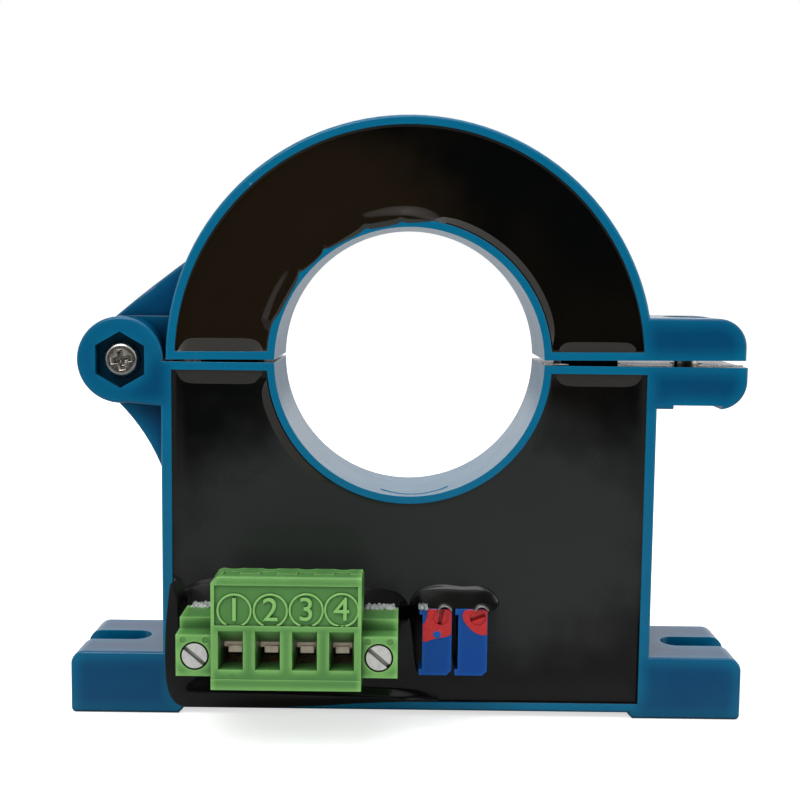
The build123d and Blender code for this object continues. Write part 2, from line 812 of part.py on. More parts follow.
def trimmer_body(x):
    """A multi-turn trimmer that stands on the board, with its screw near the top."""
    half = trimmer_width / 2
    body = block(x - half, x + half, trimmer_face, board_front, trimmer_bottom, trimmer_top)
    corner = body.edges().filter_by(Axis.Y).sort_by(Axis.Z)[:2].sort_by(Axis.X)[-1:]
    body = chamfer(corner, trimmer_bevel)
    for z in (trimmer_bottom, trimmer_top - trimmer_foot_height):
        body += block(x - half - trimmer_foot, x, trimmer_face, board_front, z, z + trimmer_foot_height)
    hole = rod_y(trimmer_screw_x(x), trimmer_screw_z, trimmer_screw_diameter / 2 + trimmer_screw_play,
                 trimmer_face - 1, trimmer_face + trimmer_screw_length)
    return body - hole


def trimmer_screw(x, turn):
    y0 = trimmer_face + trimmer_screw_sink
    x0 = trimmer_screw_x(x)
    y1 = trimmer_face + trimmer_screw_length - trimmer_screw_play
    screw = rod_y(x0, trimmer_screw_z, trimmer_screw_diameter / 2, y0, y1)
    slot = block(-slot_width / 2, slot_width / 2, y0 - 1, y0 + slot_depth,
                 -trimmer_screw_diameter, trimmer_screw_diameter)
    return screw - Pos(x0, 0, trimmer_screw_z) * Rot(0, turn, 0) * slot


def lacquer_dab(x, drop):
    """A coat of sealing lacquer brushed over the top of a trimmer's face, round its screw."""
    half = trimmer_width / 2 - lacquer_margin
    top = trimmer_top - lacquer_margin
    low = trimmer_top - drop
    edges = [
        Polyline((x + half, low), (x + half, top), (x - half, top), (x - half, low)),
        SagittaArc((x - half, low), (x + half, low), -lacquer_sag),
    ]
    solid = from_front(make_face(edges), trimmer_face - lacquer_thickness, trimmer_face)
    gap = trimmer_screw_diameter / 2 + trimmer_screw_play
    return solid - rod_y(trimmer_screw_x(x), trimmer_screw_z, gap, trimmer_face - 1, trimmer_face + 1)


os.makedirs("parts", exist_ok=True)


def save(name, solid):
    """Write one sub-part."""
    export_step(solid, f"parts/{name}.step")


header = terminal_header()
pins = [header_pin(x) for x in pole_places]
board = circuit_board()
chip = amplifier_chip()
sensor = field_sensor()
cores = [lower_core(-1), lower_core(1)]
top_core = upper_core()
trimmers = [trimmer_body(x) for x in trimmer_x]

save("lower_housing", lower_housing())
save("upper_housing", upper_housing())
save("lower_core_left", cores[0])
save("lower_core_right", cores[1])
save("upper_core", top_core)
save("field_sensor", sensor)
save("circuit_board", board)
save("amplifier_chip", chip)
save("lower_potting", lower_potting(cores + [sensor, board, chip, header_outside()] + pins + trimmers))
save("upper_potting", upper_potting(top_core))
save("hinge_screw", hinge_screw())
save("hinge_nut", hinge_nut())
save("clamp_screw", clamp_screw())
save("clamp_nut", clamp_nut())
save("terminal_header", header)
save("plug_housing", plug_housing())
for i, x in enumerate(pole_places):
    save(f"header_pin_{i + 1}", pins[i])
    save(f"plug_contact_{i + 1}", plug_contact(x))
    save(f"clamp_cage_{i + 1}", clamp_cage(x))
    save(f"terminal_screw_{i + 1}", terminal_screw(x))
for side, x in zip(("left", "right"), flange_places):
    save(f"flange_screw_{side}", flange_screw(x))
    save(f"flange_insert_{side}", flange_insert(x))
for i, side in enumerate(("left", "right")):
    save(f"trimmer_{side}", trimmers[i])
    save(f"trimmer_screw_{side}", trimmer_screw(trimmer_x[i], trimmer_slot_turn[i]))
    save(f"trimmer_lacquer_{side}", lacquer_dab(trimmer_x[i], lacquer_drop[i]))
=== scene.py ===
# %% [markdown]
# # Split-core current transducer
#
# The object is a clamp-on current sensor. Two blue moulded halves close round a cable, each filled
# with black casting resin, with a green plug-in connector and two small trimmers on the lower one.
# The solid parts come from the CAD model as a fixed frame. This lesson gives them real finishes and
# adds what a CAD model leaves out: the resin's creeping edges, raised numbers and dabs of lacquer.

# %%
# The frame
import json
from functools import partial
from math import cos, exp, log, pi, radians, sin

import bmesh
import bpy
from mathutils import Matrix, Vector


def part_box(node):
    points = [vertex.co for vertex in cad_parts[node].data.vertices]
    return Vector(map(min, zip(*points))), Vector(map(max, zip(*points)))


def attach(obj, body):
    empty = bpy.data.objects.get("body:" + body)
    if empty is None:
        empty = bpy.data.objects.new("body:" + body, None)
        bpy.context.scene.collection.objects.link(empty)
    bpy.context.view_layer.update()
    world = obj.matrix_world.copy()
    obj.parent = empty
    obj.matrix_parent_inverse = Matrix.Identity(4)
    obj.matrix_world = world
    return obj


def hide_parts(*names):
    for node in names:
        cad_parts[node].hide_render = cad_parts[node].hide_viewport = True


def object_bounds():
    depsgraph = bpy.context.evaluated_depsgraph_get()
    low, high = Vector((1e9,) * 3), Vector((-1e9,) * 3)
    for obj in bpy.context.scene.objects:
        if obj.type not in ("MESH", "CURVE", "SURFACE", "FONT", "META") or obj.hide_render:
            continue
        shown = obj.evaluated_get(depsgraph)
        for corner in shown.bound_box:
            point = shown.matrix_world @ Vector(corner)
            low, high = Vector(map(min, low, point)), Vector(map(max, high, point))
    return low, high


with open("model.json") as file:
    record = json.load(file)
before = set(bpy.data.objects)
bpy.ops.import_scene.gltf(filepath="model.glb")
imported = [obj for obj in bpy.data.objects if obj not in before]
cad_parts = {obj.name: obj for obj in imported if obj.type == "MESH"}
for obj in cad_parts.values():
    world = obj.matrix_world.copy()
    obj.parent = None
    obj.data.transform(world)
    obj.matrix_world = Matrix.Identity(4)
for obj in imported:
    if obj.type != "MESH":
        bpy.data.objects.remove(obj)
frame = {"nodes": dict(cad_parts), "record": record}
nodes = frame["nodes"]
cad_box = [list(corner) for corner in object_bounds()]
MM = 0.001
print(len(nodes), "CAD nodes, box", [[round(v / MM, 1) for v in corner] for corner in cad_box])

# %% [markdown]
# ## Colours and nodes
#
# Colours are written as sRGB hex values, because those can be read off a colour picker. Blender
# mixes light in linear values, so one function turns each colour into what the sockets expect.
# A second function adds a shader node with its settings, values and links in one line, which keeps
# each material short enough to read. Two more begin a material and connect what it ends with. The
# first of them also gives back add, which is that function with the tree already filled in.


# %%
# Functions for colours, nodes and materials
def colour(code):
    """Turns an sRGB hex colour into the linear values that a socket takes."""
    parts = [int(code[i:i + 2], 16) / 255 for i in (0, 2, 4)]
    linear = [c / 12.92 if c <= 0.04045 else ((c + 0.055) / 1.055) ** 2.4 for c in parts]
    return (*linear, 1.0)


def add_node(tree, kind, values=None, links=None, **settings):
    """Adds a node of a kind such as TexNoise, fills its sockets and links others into them."""
    node = tree.nodes.new("ShaderNode" + kind)
    for name, value in settings.items():
        setattr(node, name, value)
    for socket, value in (values or {}).items():
        node.inputs[socket].default_value = value
    for socket, source in (links or {}).items():
        tree.links.new(source, node.inputs[socket])
    return node


def start_material(name, values):
    """A new material with its shader's plain values set, its own add and its coordinates."""
    material = bpy.data.materials.new(name)
    material.use_nodes = True
    tree = material.node_tree
    for socket, value in values.items():
        tree.nodes["Principled BSDF"].inputs[socket].default_value = value
    return material, partial(add_node, tree), add_node(tree, "TexCoord").outputs["Object"]


def connect(material, tone, gloss, bump):
    """Links a Mix node's colour, a roughness and a bump to the material's shader."""
    tree = material.node_tree
    for node, output, socket in ((tone, 2, "Base Color"), (gloss, 0, "Roughness"), (bump, 0, "Normal")):
        tree.links.new(node.outputs[output], tree.nodes["Principled BSDF"].inputs[socket])
    return material


print("written 808080 gives", [round(v, 3) for v in colour("808080")])

# %% [markdown]
# ## Moulded plastics
#
# The housings are injection-moulded ABS, which is slightly see-through: a thin wall and the last two
# millimetres before an edge look bright turquoise, and a thick block looks deep blue. Real scattering
# would show that too, but it is slow and grainy, so that light is painted into the colour instead. An
# Ambient Occlusion node that looks inwards finds the same places, because near an edge or in a thin
# wall its rays soon meet the other side. A Bevel node rounds the light on sharp edges, as every
# moulded edge is a little round. A second Ambient Occlusion node looks outwards and paints shade
# into deep hollows, where no light comes through the plastic. Over that lie a slow drift of the
# colour, a fine grain from the spark-eroded mould, and pale dust.


# %%
# Moulded plastic, used for the housings, the connector and the trimmers
def moulded_plastic(name, dark, deep, thin, speck, roughness, depth_mm, grain_mm, speck_mm, speck_share):
    """Dark is painted shade of hollows, deep of thick walls, thin a painted glow of edges, speck of the
    dust.
    """
    material, add, place = start_material(name, {"IOR": 1.53, "Specular IOR Level": 0.25})
    # Painted glow: thin walls and edges take the thin colour, in place of light scattered through them
    inward = add("AmbientOcclusion", {"Distance": depth_mm * MM}, inside=True, samples=8)
    drift = add("TexNoise", {"Scale": 1 / (9 * MM), "Detail": 3.0}, {"Vector": place})
    wander = add("Math", {1: 0.35, 2: -0.17}, {0: drift.outputs["Fac"]}, operation="MULTIPLY_ADD")
    light = add("Math", links={0: inward.outputs["AO"], 1: wander.outputs[0]}, operation="SUBTRACT")
    share = add("MapRange", {"From Min": 1.0, "From Max": 0.35}, {"Value": light.outputs[0]})
    tone = add("Mix", {6: colour(deep), 7: colour(thin)}, {0: share.outputs[0]}, data_type="RGBA")
    # Painted shade: deep hollows that the outward Ambient Occlusion finds take the dark colour
    outward = add("AmbientOcclusion", {"Distance": 4 * MM}, samples=8)
    open_share = add("MapRange", {"From Min": 0.15, "From Max": 0.75}, {"Value": outward.outputs["AO"]})
    tone = add("Mix", {6: colour(dark)}, {0: open_share.outputs[0], 7: tone.outputs[2]}, data_type="RGBA")
    cells = add("TexVoronoi", {"Scale": 1 / (speck_mm * MM)}, {"Vector": place})
    lot = add("SeparateColor", links={"Color": cells.outputs["Color"]})
    chosen = add("Math", {1: 1 - speck_share}, {0: lot.outputs["Red"]}, operation="GREATER_THAN")
    near = add("MapRange", {"From Min": 0.1, "From Max": 0.03, "To Max": 0.7},
               {"Value": cells.outputs["Distance"]})
    dot = add("Math", links={0: chosen.outputs[0], 1: near.outputs[0]}, operation="MULTIPLY")
    dusty = add("Mix", {7: colour(speck)}, {0: dot.outputs[0], 6: tone.outputs[2]}, data_type="RGBA")
    worn = add("TexNoise", {"Scale": 1 / (4 * MM), "Detail": 5.0}, {"Vector": place})
    gloss = add("MapRange", {"To Min": roughness - 0.06, "To Max": roughness + 0.06},
                {"Value": worn.outputs["Fac"]})
    edges = add("Bevel", {"Radius": 0.15 * MM}, samples=6)
    grain = add("TexNoise", {"Scale": 1 / (grain_mm * MM), "Detail": 2.0}, {"Vector": place})
    bump = add("Bump", {"Strength": 0.15, "Distance": 0.04 * MM},
               {"Height": grain.outputs["Fac"], "Normal": edges.outputs[0]})
    return connect(material, dusty, gloss, bump)


blue_abs = moulded_plastic("blue_abs", "001a2a", "00446c", "00688d", "5f9fbf", 0.2, 2.4, 0.35, 2.6, 0.06)
green_polyamide = moulded_plastic("green_polyamide", "1c3a18", "528646", "84be6a", "a8d692", 0.3,
                                  0.9, 0.3, 3.0, 0.04)
trimmer_blue = moulded_plastic("trimmer_blue", "06183c", "00438f", "0a54a6", "c8d8ee", 0.3,
                               0.7, 0.22, 0.9, 0.09)
print("moulded plastics:", blue_abs.name, green_polyamide.name, trimmer_blue.name)

# %% [markdown]
# ## Cast resin
#
# The halves are filled with black two-part epoxy casting resin. It sets glossy, and its black isn't
# even: a faint brown cloud shows in it. On the lower half the middle is a rougher satin, and a grey
# painted reflection lies in its colour there. Both fade into gloss towards the corners, so a stretched
# spherical gradient with a ragged edge mixes the two. The upper half's painted brown reflection is
# made in the same way. Long soft waves in the surface bend the reflections: that bump is centimetres
# wide and only some tenths of a millimetre high.


# %%
# Cast resin, with a patch of painted reflection
def cast_resin(name, base, cloud, roughness, wave_mm, wave_height, reflection_patch):
    """The last argument gives the patch's colour, a painted reflection, its roughness, middle (x, z) and
    reach (x, z) in mm.
    """
    material, add, place = start_material(name, {"IOR": 1.5})
    clouds = add("TexNoise", {"Scale": 1 / (20 * MM), "Detail": 1.5}, {"Vector": place})
    share = add("MapRange", {"From Min": 0.45, "From Max": 0.68}, {"Value": clouds.outputs["Fac"]})
    tone = add("Mix", {6: colour(base), 7: colour(cloud)}, {0: share.outputs[0]}, data_type="RGBA")
    dull = add("TexNoise", {"Scale": 1 / (5 * MM), "Detail": 1.5}, {"Vector": place})
    satin = add("MapRange",
                {"From Min": 0.35, "From Max": 0.7, "To Min": roughness, "To Max": roughness + 0.05},
                {"Value": dull.outputs["Fac"]})
    painted_reflection, dryness, x, z, wide, high = reflection_patch
    spread = add("Mapping",
                 {"Location": (-x / wide, 0, -z / high), "Scale": (1 / (wide * MM), 0, 1 / (high * MM))},
                 {"Vector": place})
    inside = add("TexGradient", links={"Vector": spread.outputs[0]}, gradient_type="SPHERICAL")
    ragged = add("Math", {1: 0.3, 2: -0.15}, {0: dull.outputs["Fac"]}, operation="MULTIPLY_ADD")
    patch_edge = add("Math", links={0: inside.outputs["Fac"], 1: ragged.outputs[0]})
    patch = add("MapRange", {"From Min": 0.0, "From Max": 0.42},
                {"Value": patch_edge.outputs[0]}, interpolation_type="SMOOTHSTEP")
    # Painted reflection: the patch's colour is mixed into the resin's
    tone = add("Mix", {7: colour(painted_reflection)}, {0: patch.outputs[0], 6: tone.outputs[2]}, data_type="RGBA")
    satin = add("Math", {1: dryness - roughness},
                {0: patch.outputs[0], 2: satin.outputs[0]}, operation="MULTIPLY_ADD")
    waves = add("TexNoise", {"Scale": 1 / (wave_mm * MM), "Detail": 1.0}, {"Vector": place})
    swell = add("Bump", {"Strength": 1.0, "Distance": wave_height * MM}, {"Height": waves.outputs["Fac"]})
    dust = add("TexNoise", {"Scale": 1 / (0.5 * MM), "Detail": 3.0}, {"Vector": place})
    skin = add("Bump", {"Strength": 0.1, "Distance": 0.03 * MM},
               {"Height": dust.outputs["Fac"], "Normal": swell.outputs[0]})
    return connect(material, tone, satin, skin)


# Painted reflections: brown on the upper half, grey over the lower half's rougher satin
painted_brown_reflection = ("1c150c", 0.075, -20, 16, 34, 25)
satin_and_painted_reflection = ("262828", 0.3, 3, -26, 48, 24)
gloss_resin = cast_resin("gloss_resin", "040505", "0c0a06", 0.08, 16.0, 0.2, painted_brown_reflection)
hazy_resin_painted_reflection = cast_resin("hazy_resin_painted_reflection", "050606", "0d0b08", 0.15, 22.0, 0.16, satin_and_painted_reflection)
print("resins:", gloss_resin.name, hazy_resin_painted_reflection.name)

# %% [markdown]
# ## Metals
#
# Bare metals look alike in colour, and the eye tells them apart by their marks. Plated steel keeps
# fine turning rings or brush lines under its plating, tinned brass is warm and blotchy, and the
# core's metal is dull. Slots and recesses get a painted shade, a darker brown tone where an Ambient
# Occlusion node finds little light. A dull zinc or tin layer also scatters light as paint does, so it
# is only partly metallic. A metal keeps the shader's own IOR, so only its colour, its roughness and a
# stretched noise for the marks change from one to the next.


# %%
# Plated and bare metals
def metal(name, base, tarnish, roughness, mark_mm, stretch, metallic=1.0, recess_shade="2a2013"):
    """Stretch draws the marks out along an axis, and the last colour is the painted shade of the recesses.
    """
    material, add, place = start_material(name, {"Metallic": metallic})
    blotch = add("TexNoise", {"Scale": 1 / (0.8 * MM), "Detail": 4.0}, {"Vector": place})
    share = add("MapRange", {"From Min": 0.4, "From Max": 0.75}, {"Value": blotch.outputs["Fac"]})
    tone = add("Mix", {6: colour(base), 7: colour(tarnish)}, {0: share.outputs[0]}, data_type="RGBA")
    # Painted shade: where the Ambient Occlusion finds recesses, the colour turns to the shade colour
    outward = add("AmbientOcclusion", {"Distance": 1.2 * MM}, samples=8)
    unshaded_share = add("MapRange", {"From Min": 0.1, "From Max": 0.55}, {"Value": outward.outputs["AO"]})
    shaded_tone = add("Mix", {6: colour(recess_shade)}, {0: unshaded_share.outputs[0], 7: tone.outputs[2]}, data_type="RGBA")
    drawn = add("Mapping", {"Scale": stretch}, {"Vector": place})
    marks = add("TexNoise", {"Scale": 1 / (mark_mm * MM), "Detail": 3.0}, {"Vector": drawn.outputs[0]})
    bump = add("Bump", {"Strength": 0.25, "Distance": 0.02 * MM}, {"Height": marks.outputs["Fac"]})
    rub = add("MapRange", {"To Min": roughness - 0.08, "To Max": roughness + 0.12},
              {"Value": marks.outputs["Fac"]})
    return connect(material, shaded_tone, rub, bump)


nickel_steel = metal("nickel_steel", "dcd9d2", "b5ab9b", 0.24, 0.3, (1.0, 1.0, 1.0))
zinc_steel = metal("zinc_steel", "e6e6e3", "cfcfca", 0.48, 0.25, (1.0, 1.0, 0.15), 0.5)
tinned_brass = metal("tinned_brass", "fbead8", "ecd6bd", 0.5, 0.3, (0.3, 1.0, 1.0), 0.35, "b39f86")
plated_brass = metal("plated_brass", "c9bfa8", "93876d", 0.35, 0.3, (1.0, 1.0, 0.3))
turned_brass = metal("turned_brass", "d9b978", "a98748", 0.3, 0.2, (1.0, 1.0, 1.0))
core_metal = metal("core_metal", "55565a", "3a3a3d", 0.55, 0.4, (1.0, 0.2, 1.0))
print("metals:", nickel_steel.name, zinc_steel.name, tinned_brass.name, turned_brass.name)

# %% [markdown]
# ## Lacquer, board and small black parts
#
# Red sealing lacquer is brushed over the trimmers once they are set, so it is glossy, a little
# uneven and thick at its edges. The board's green mask and the black moulded chip hide in the resin,
# but still get their own finish, for whoever opens the part up. The grey resins and the glue follow the
# same recipe: the bands' grey is a painted reflection, and the glue's pale colour a painted glint.


# %%
# Brushed lacquer, solder mask, matt black moulding, grey resins, and glue with a painted glint
def coating(name, base, shade, roughness, blotch_mm, bump_mm, bump_height):
    """Two tones mixed in blotches, over a low bump."""
    material, add, place = start_material(name, {"IOR": 1.5})
    blotch = add("TexNoise", {"Scale": 1 / (blotch_mm * MM), "Detail": 3.0}, {"Vector": place})
    tone = add("Mix", {6: colour(base), 7: colour(shade)}, {0: blotch.outputs["Fac"]}, data_type="RGBA")
    gloss = add("MapRange", {"To Min": roughness, "To Max": roughness + 0.15},
                {"Value": blotch.outputs["Fac"]})
    uneven = add("TexNoise", {"Scale": 1 / (bump_mm * MM), "Detail": 2.0}, {"Vector": place})
    bump = add("Bump", {"Strength": 0.6, "Distance": bump_height * MM}, {"Height": uneven.outputs["Fac"]})
    return connect(material, tone, gloss, bump)


red_lacquer = coating("red_lacquer", "cc2a2c", "b02024", 0.2, 1.2, 0.7, 0.06)
solder_mask = coating("solder_mask", "12552c", "0c4423", 0.28, 3.0, 0.5, 0.02)
black_moulding = coating("black_moulding", "1c1c1d", "141415", 0.55, 2.0, 0.25, 0.02)
# A lighter grey resin for the rim of the run-over sheets
grey_rim_resin = coating("grey_rim_resin", "3c403d", "2a2d2a", 0.22, 1.5, 0.6, 0.02)
# The grey bands' colour is a painted reflection
grey_band_painted_reflection = coating("grey_band_painted_reflection", "302e2a", "262421", 0.3, 1.5, 0.5, 0.01)
# The glue's pale colour is a painted glint
glue_painted_glint = coating("glue_painted_glint", "b9bdbb", "8d9290", 0.16, 0.5, 0.4, 0.1)
print("coatings:", red_lacquer.name, solder_mask.name, black_moulding.name, glue_painted_glint.name)

# %% [markdown]
# ## Dressing the CAD nodes
#
# Every CAD node keeps its shape and only gets a finish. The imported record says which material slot
# each node belongs to, so one table from slot to finish dresses them all. The trimmers' screws are
# the exception: on the real object the red lacquer covers them too.

# %%
# Each slot's finish goes onto the nodes that use it
finish_of_slot = {
    "blue_plastic": blue_abs, "potting_resin": hazy_resin_painted_reflection, "green_plastic": green_polyamide,
    "trimmer_plastic": trimmer_blue, "red_lacquer": red_lacquer, "nickel_steel": nickel_steel,
    "zinc_steel": zinc_steel, "brass": turned_brass, "tinned_brass": tinned_brass,
    "plated_brass": plated_brass, "core_metal": core_metal, "sensor_plastic": black_moulding,
    "board": solder_mask,
}
finish_of_node = {
    "upper_potting": gloss_resin, "trimmer_screw_left": red_lacquer, "trimmer_screw_right": red_lacquer,
}
rows = frame["record"]["subparts"]
for row in rows:
    node = nodes[row["node"]]
    node.data.materials.clear()
    node.data.materials.append(finish_of_node.get(row["node"], finish_of_slot[row["material_slot"]]))
print("dressed", len(rows), "nodes")

# %% [markdown]
# ## Tools for modelling
#
# New pieces are modelled as by hand, with Blender's own operators. An operator acts on whatever is
# selected, and loading the frame leaves its nodes selected, so all are deselected here, and again
# when a piece is complete. Faces and points are picked by their place. A finished piece rides on the
# CAD body that carries it: it is parented to an empty named for that body.


# %%
# Selecting, editing and finishing a piece
def mm(*sizes):
    """Sizes in millimetres as Blender's metres."""
    return [size * MM for size in sizes]


def deselect_all():
    """Back to object mode with nothing selected."""
    if bpy.context.object and bpy.context.object.mode != "OBJECT":
        bpy.ops.object.mode_set(mode="OBJECT")
    bpy.ops.object.select_all(action="DESELECT")


def choose(piece):
    """This piece alone is selected and active."""
    deselect_all()
    piece.select_set(True)
    bpy.context.view_layer.objects.active = piece


def open_piece(piece, everything=False):
    """Edit mode on one piece, with nothing or everything selected in it."""
    choose(piece)
    bpy.ops.object.mode_set(mode="EDIT")
    bpy.ops.mesh.select_mode(type="VERT")
    bpy.ops.mesh.select_all(action="SELECT" if everything else "DESELECT")


def pick_faces(piece, wanted):
    """Selects the faces whose middle and normal pass the test."""
    bpy.ops.mesh.select_mode(type="FACE")
    mesh = bmesh.from_edit_mesh(piece.data)
    for face in mesh.faces:
        face.select_set(wanted(face.calc_center_median(), face.normal))
    bmesh.update_edit_mesh(piece.data)


def pick_points(piece, wanted):
    """Selects the points whose place passes the test."""
    bpy.ops.mesh.select_mode(type="VERT")
    mesh = bmesh.from_edit_mesh(piece.data)
    for point in mesh.verts:
        point.select_set(wanted(point.co))
    mesh.select_flush_mode()
    bmesh.update_edit_mesh(piece.data)


def name_it(name):
    """The object just added is a piece with this name, its place moved into its mesh."""
    piece = bpy.context.object
    piece.name = name
    piece.data.name = name
    bpy.ops.object.transform_apply(location=True, rotation=True, scale=True)
    return piece


def apply_modifiers(piece):
    """Makes the modifiers part of the mesh."""
    choose(piece)
    for modifier in list(piece.modifiers):
        bpy.ops.object.modifier_apply(modifier=modifier.name)


def cut_away(piece, cutter):
    """Takes the cutter's shape out of the piece, and then the cutter away."""
    cut = piece.modifiers.new("cut", "BOOLEAN")
    cut.operation = "DIFFERENCE"
    cut.object = cutter
    apply_modifiers(piece)
    bpy.data.objects.remove(cutter)


def complete(piece, finish, body, angle=40, second=None):
    """Leaves edit mode, shades the piece, gives it its finish or two, and lets it ride on its body."""
    choose(piece)
    bpy.ops.object.shade_smooth_by_angle(angle=radians(angle))
    marks = [face.material_index for face in piece.data.polygons] if second else []
    piece.data.materials.clear()
    piece.data.materials.append(finish)
    if second:
        piece.data.materials.append(second)
        piece.data.polygons.foreach_set("material_index", marks)
    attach(piece, body)
    print(piece.name, len(piece.data.polygons), "faces on", body)
    deselect_all()


# Primitives lie flat when they are added, and this turns them to face the front
upright = (pi / 2, 0, 0)
deselect_all()

# %% [markdown]
# ## The resin's surface
#
# Liquid resin creeps up the walls that hold it before it sets, so its surface isn't flat: round the
# edge it rises in a narrow hollow curve, the meniscus, and that curve catches the light in thin
# bright lines. It could be painted on, but then it wouldn't move with the light. Here the outline of
# the CAD resin is copied as one face, raised to where the resin touches the wall, and inset in steps
# that each lie a little deeper.


# %%
# A resin skin with a meniscus, taken from the front of a CAD node
def front_outline(node, name, inner=None):
    """One face with the outline of the CAD node's front; points that pass inner are left out."""
    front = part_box(node)[0].y
    piece = bpy.data.objects.new(name, nodes[node].data.copy())
    piece.data.name = name
    bpy.context.collection.objects.link(piece)
    open_piece(piece, everything=True)
    bpy.ops.mesh.remove_doubles(threshold=0.002 * MM)
    pick_faces(piece, lambda middle, normal: abs(middle.y - front) < 0.01 * MM)
    bpy.ops.mesh.select_all(action="INVERT")
    bpy.ops.mesh.delete(type="FACE")
    bpy.ops.mesh.select_all(action="SELECT")
    bpy.ops.mesh.region_to_loop()
    bpy.ops.mesh.select_all(action="INVERT")
    bpy.ops.mesh.delete(type="EDGE")
    if inner:
        pick_points(piece, inner)
        bpy.ops.mesh.delete(type="VERT")
    bpy.ops.mesh.select_mode(type="VERT")
    bpy.ops.mesh.select_all(action="SELECT")
    bpy.ops.mesh.edge_face_add()
    mesh = bmesh.from_edit_mesh(piece.data)
    mesh.normal_update()
    if sum(face.normal.y for face in mesh.faces) > 0:
        bpy.ops.mesh.flip_normals()
    return piece


def add_meniscus(piece, steps, lift):
    """Insets the face in steps of (width, depth); its middle ends a lift, in mm, before the CAD's."""
    rise = sum(depth for width, depth in steps) * MM
    bpy.ops.transform.translate(value=(0, -rise - lift * MM, 0))
    for width, depth in steps:
        bpy.ops.mesh.remove_doubles(threshold=1.3 * width * MM)
        bpy.ops.mesh.inset(thickness=width * MM, depth=-depth * MM, use_even_offset=True)
    bpy.ops.mesh.select_all(action="SELECT")
    bpy.ops.mesh.region_to_loop()
    bpy.ops.mesh.extrude_region_move(TRANSFORM_OT_translate={"value": (0, rise + 0.15 * MM, 0)})
    bpy.ops.object.mode_set(mode="OBJECT")
    widest = max(piece.data.polygons, key=lambda face: face.area)
    print(piece.name, "middle", round(widest.area / MM ** 2), "mm2 at y", round(widest.center.y / MM, 2))


def in_connector_or_trimmer(at):
    """The zone of the lower half where the connector and the trimmers stand in the resin."""
    return abs(at.x) < 34.5 * MM and -50 * MM < at.z < -26 * MM


# An inset would fold over at an edge shorter than itself, so close points are merged before each
creep = ((0.1, 0.06), (0.25, 0.08), (0.4, 0.06), (0.5, 0.04), (0.55, 0.02), (0.4, 0.0))
upper_skin = front_outline("upper_potting", "resin_skin_upper")
add_meniscus(upper_skin, creep, 0.3)
complete(upper_skin, gloss_resin, "upper_half")
lower_skin = front_outline("lower_potting", "resin_skin_lower", in_connector_or_trimmer)
add_meniscus(lower_skin, creep, 0.26)
complete(lower_skin, hazy_resin_painted_reflection, "base")

# %% [markdown]
# ## Where the resin ran over
#
# The resin was poured by hand. It ran over the window's wall in scallops, over the left and bottom
# walls in a thin film, and was topped up round the connector and the trimmers. Each is a sheet of
# quads whose points are moved to where they lie: u runs along the edge, v across it, and the height
# follows a rounded profile, so both rims sink into what lies under them.


# %%
# A grid whose points are moved into place
def shaped_sheet(name, columns, rows, place, rim=0.0, outward=(0, -1, 0)):
    """A grid in which the point at shares u and v lies where place(u, v) says, in mm.

    Faces with v below rim take the piece's second finish.
    """
    bpy.ops.mesh.primitive_grid_add(x_subdivisions=columns, y_subdivisions=rows, size=1)
    piece = name_it(name)
    for face in piece.data.polygons:
        face.material_index = int(face.center.y + 0.5 < rim)
    for point in piece.data.vertices:
        point.co = Vector(place(point.co.x + 0.5, point.co.y + 0.5)) * MM
    piece.data.update()
    open_piece(piece, everything=True)
    if sum(face.normal.dot(Vector(outward)) for face in piece.data.polygons) < 0:
        bpy.ops.mesh.flip_normals()
    return piece


def along(points, share):
    """The place at a share of the way along a list of points, smoothed between them."""
    at = share * (len(points) - 1)
    i = min(int(at), len(points) - 2)
    before, after = points[max(i - 1, 0)], points[min(i + 2, len(points) - 1)]
    t = at - i
    return [0.5 * (2 * b + (c - a) * t + (2 * a - 5 * b + 4 * c - d) * t * t
                   + (3 * b - a - 3 * c + d) * t ** 3)
            for a, b, c, d in zip(before, points[i], points[i + 1], after)]


def smooth(share):
    """A share, kept between 0 and 1 and eased at both."""
    share = min(1.0, max(0.0, share))
    return share * share * (3 - 2 * share)


def between_ends(u, first, last):
    """Grows from 0 to 1 within the first share of a sheet's length, and back within the last."""
    return min(1.0, u / first, (1 - u) / last)


# Places in y and a radius, in mm: the walls' front, the middle of each skin, the window's wall
wall_face, upper_level, lower_level, wall_radius = -9.0, -8.5, -8.46, 21.35
skin_creep = sum(depth for width, depth in creep)


def run_over(name, outer, inner, spread, level, finish, body, thin=None):
    """A thin rim on the wall's face up to its inner edge, then a slow fall to the resin's level.

    Thin is a list of widths in mm: so far from the rim the coat is thin, and its faces take a lighter grey.
    """
    even_power = 1.8
    thin_share = 0.32 if thin else 0.0

    def place(u, v):
        start = Vector(along(outer, u))
        across = Vector(along(inner, u)) - start
        reach = across.length + spread
        power = log(along(thin, u)[0] / reach) / log(thin_share) if thin else even_power
        way = reach * v ** power
        x, z = start + across.normalized() * way
        beyond = way - across.length
        # The coat has a steep edge, thickens over almost a millimetre, and falls off past the wall
        coat = 0.05 * min(1.0, way / 0.08) + 0.13 * min(1.0, way / 0.9)
        fall = smooth(beyond / spread)
        shown = (wall_face - coat) * (1 - fall) + (level - 0.01) * fall
        sunk = level + 0.02 + 0.1 * exp(-beyond / 1.5) - skin_creep * exp(-beyond / 0.8)
        hidden = wall_face + 0.06 if beyond < 0 else sunk
        # At both ends the rim sinks within a short way, and what lies on the resin within a longer one
        short, long = between_ends(u, 0.08, 0.08), between_ends(u, 0.45, 0.4)
        share = short + (long - short) * min(1.0, max(0.0, beyond) / 1.6)
        return x, hidden + (shown - hidden) * smooth(share), z
    piece = shaped_sheet(name, 150, 26, place, thin_share)
    complete(piece, finish, body, 80, grey_rim_resin)


def round_window(radius, angle):
    """The place in x and z at an angle in degrees round the window's middle."""
    return radius * cos(radians(angle)), radius * sin(radians(angle))


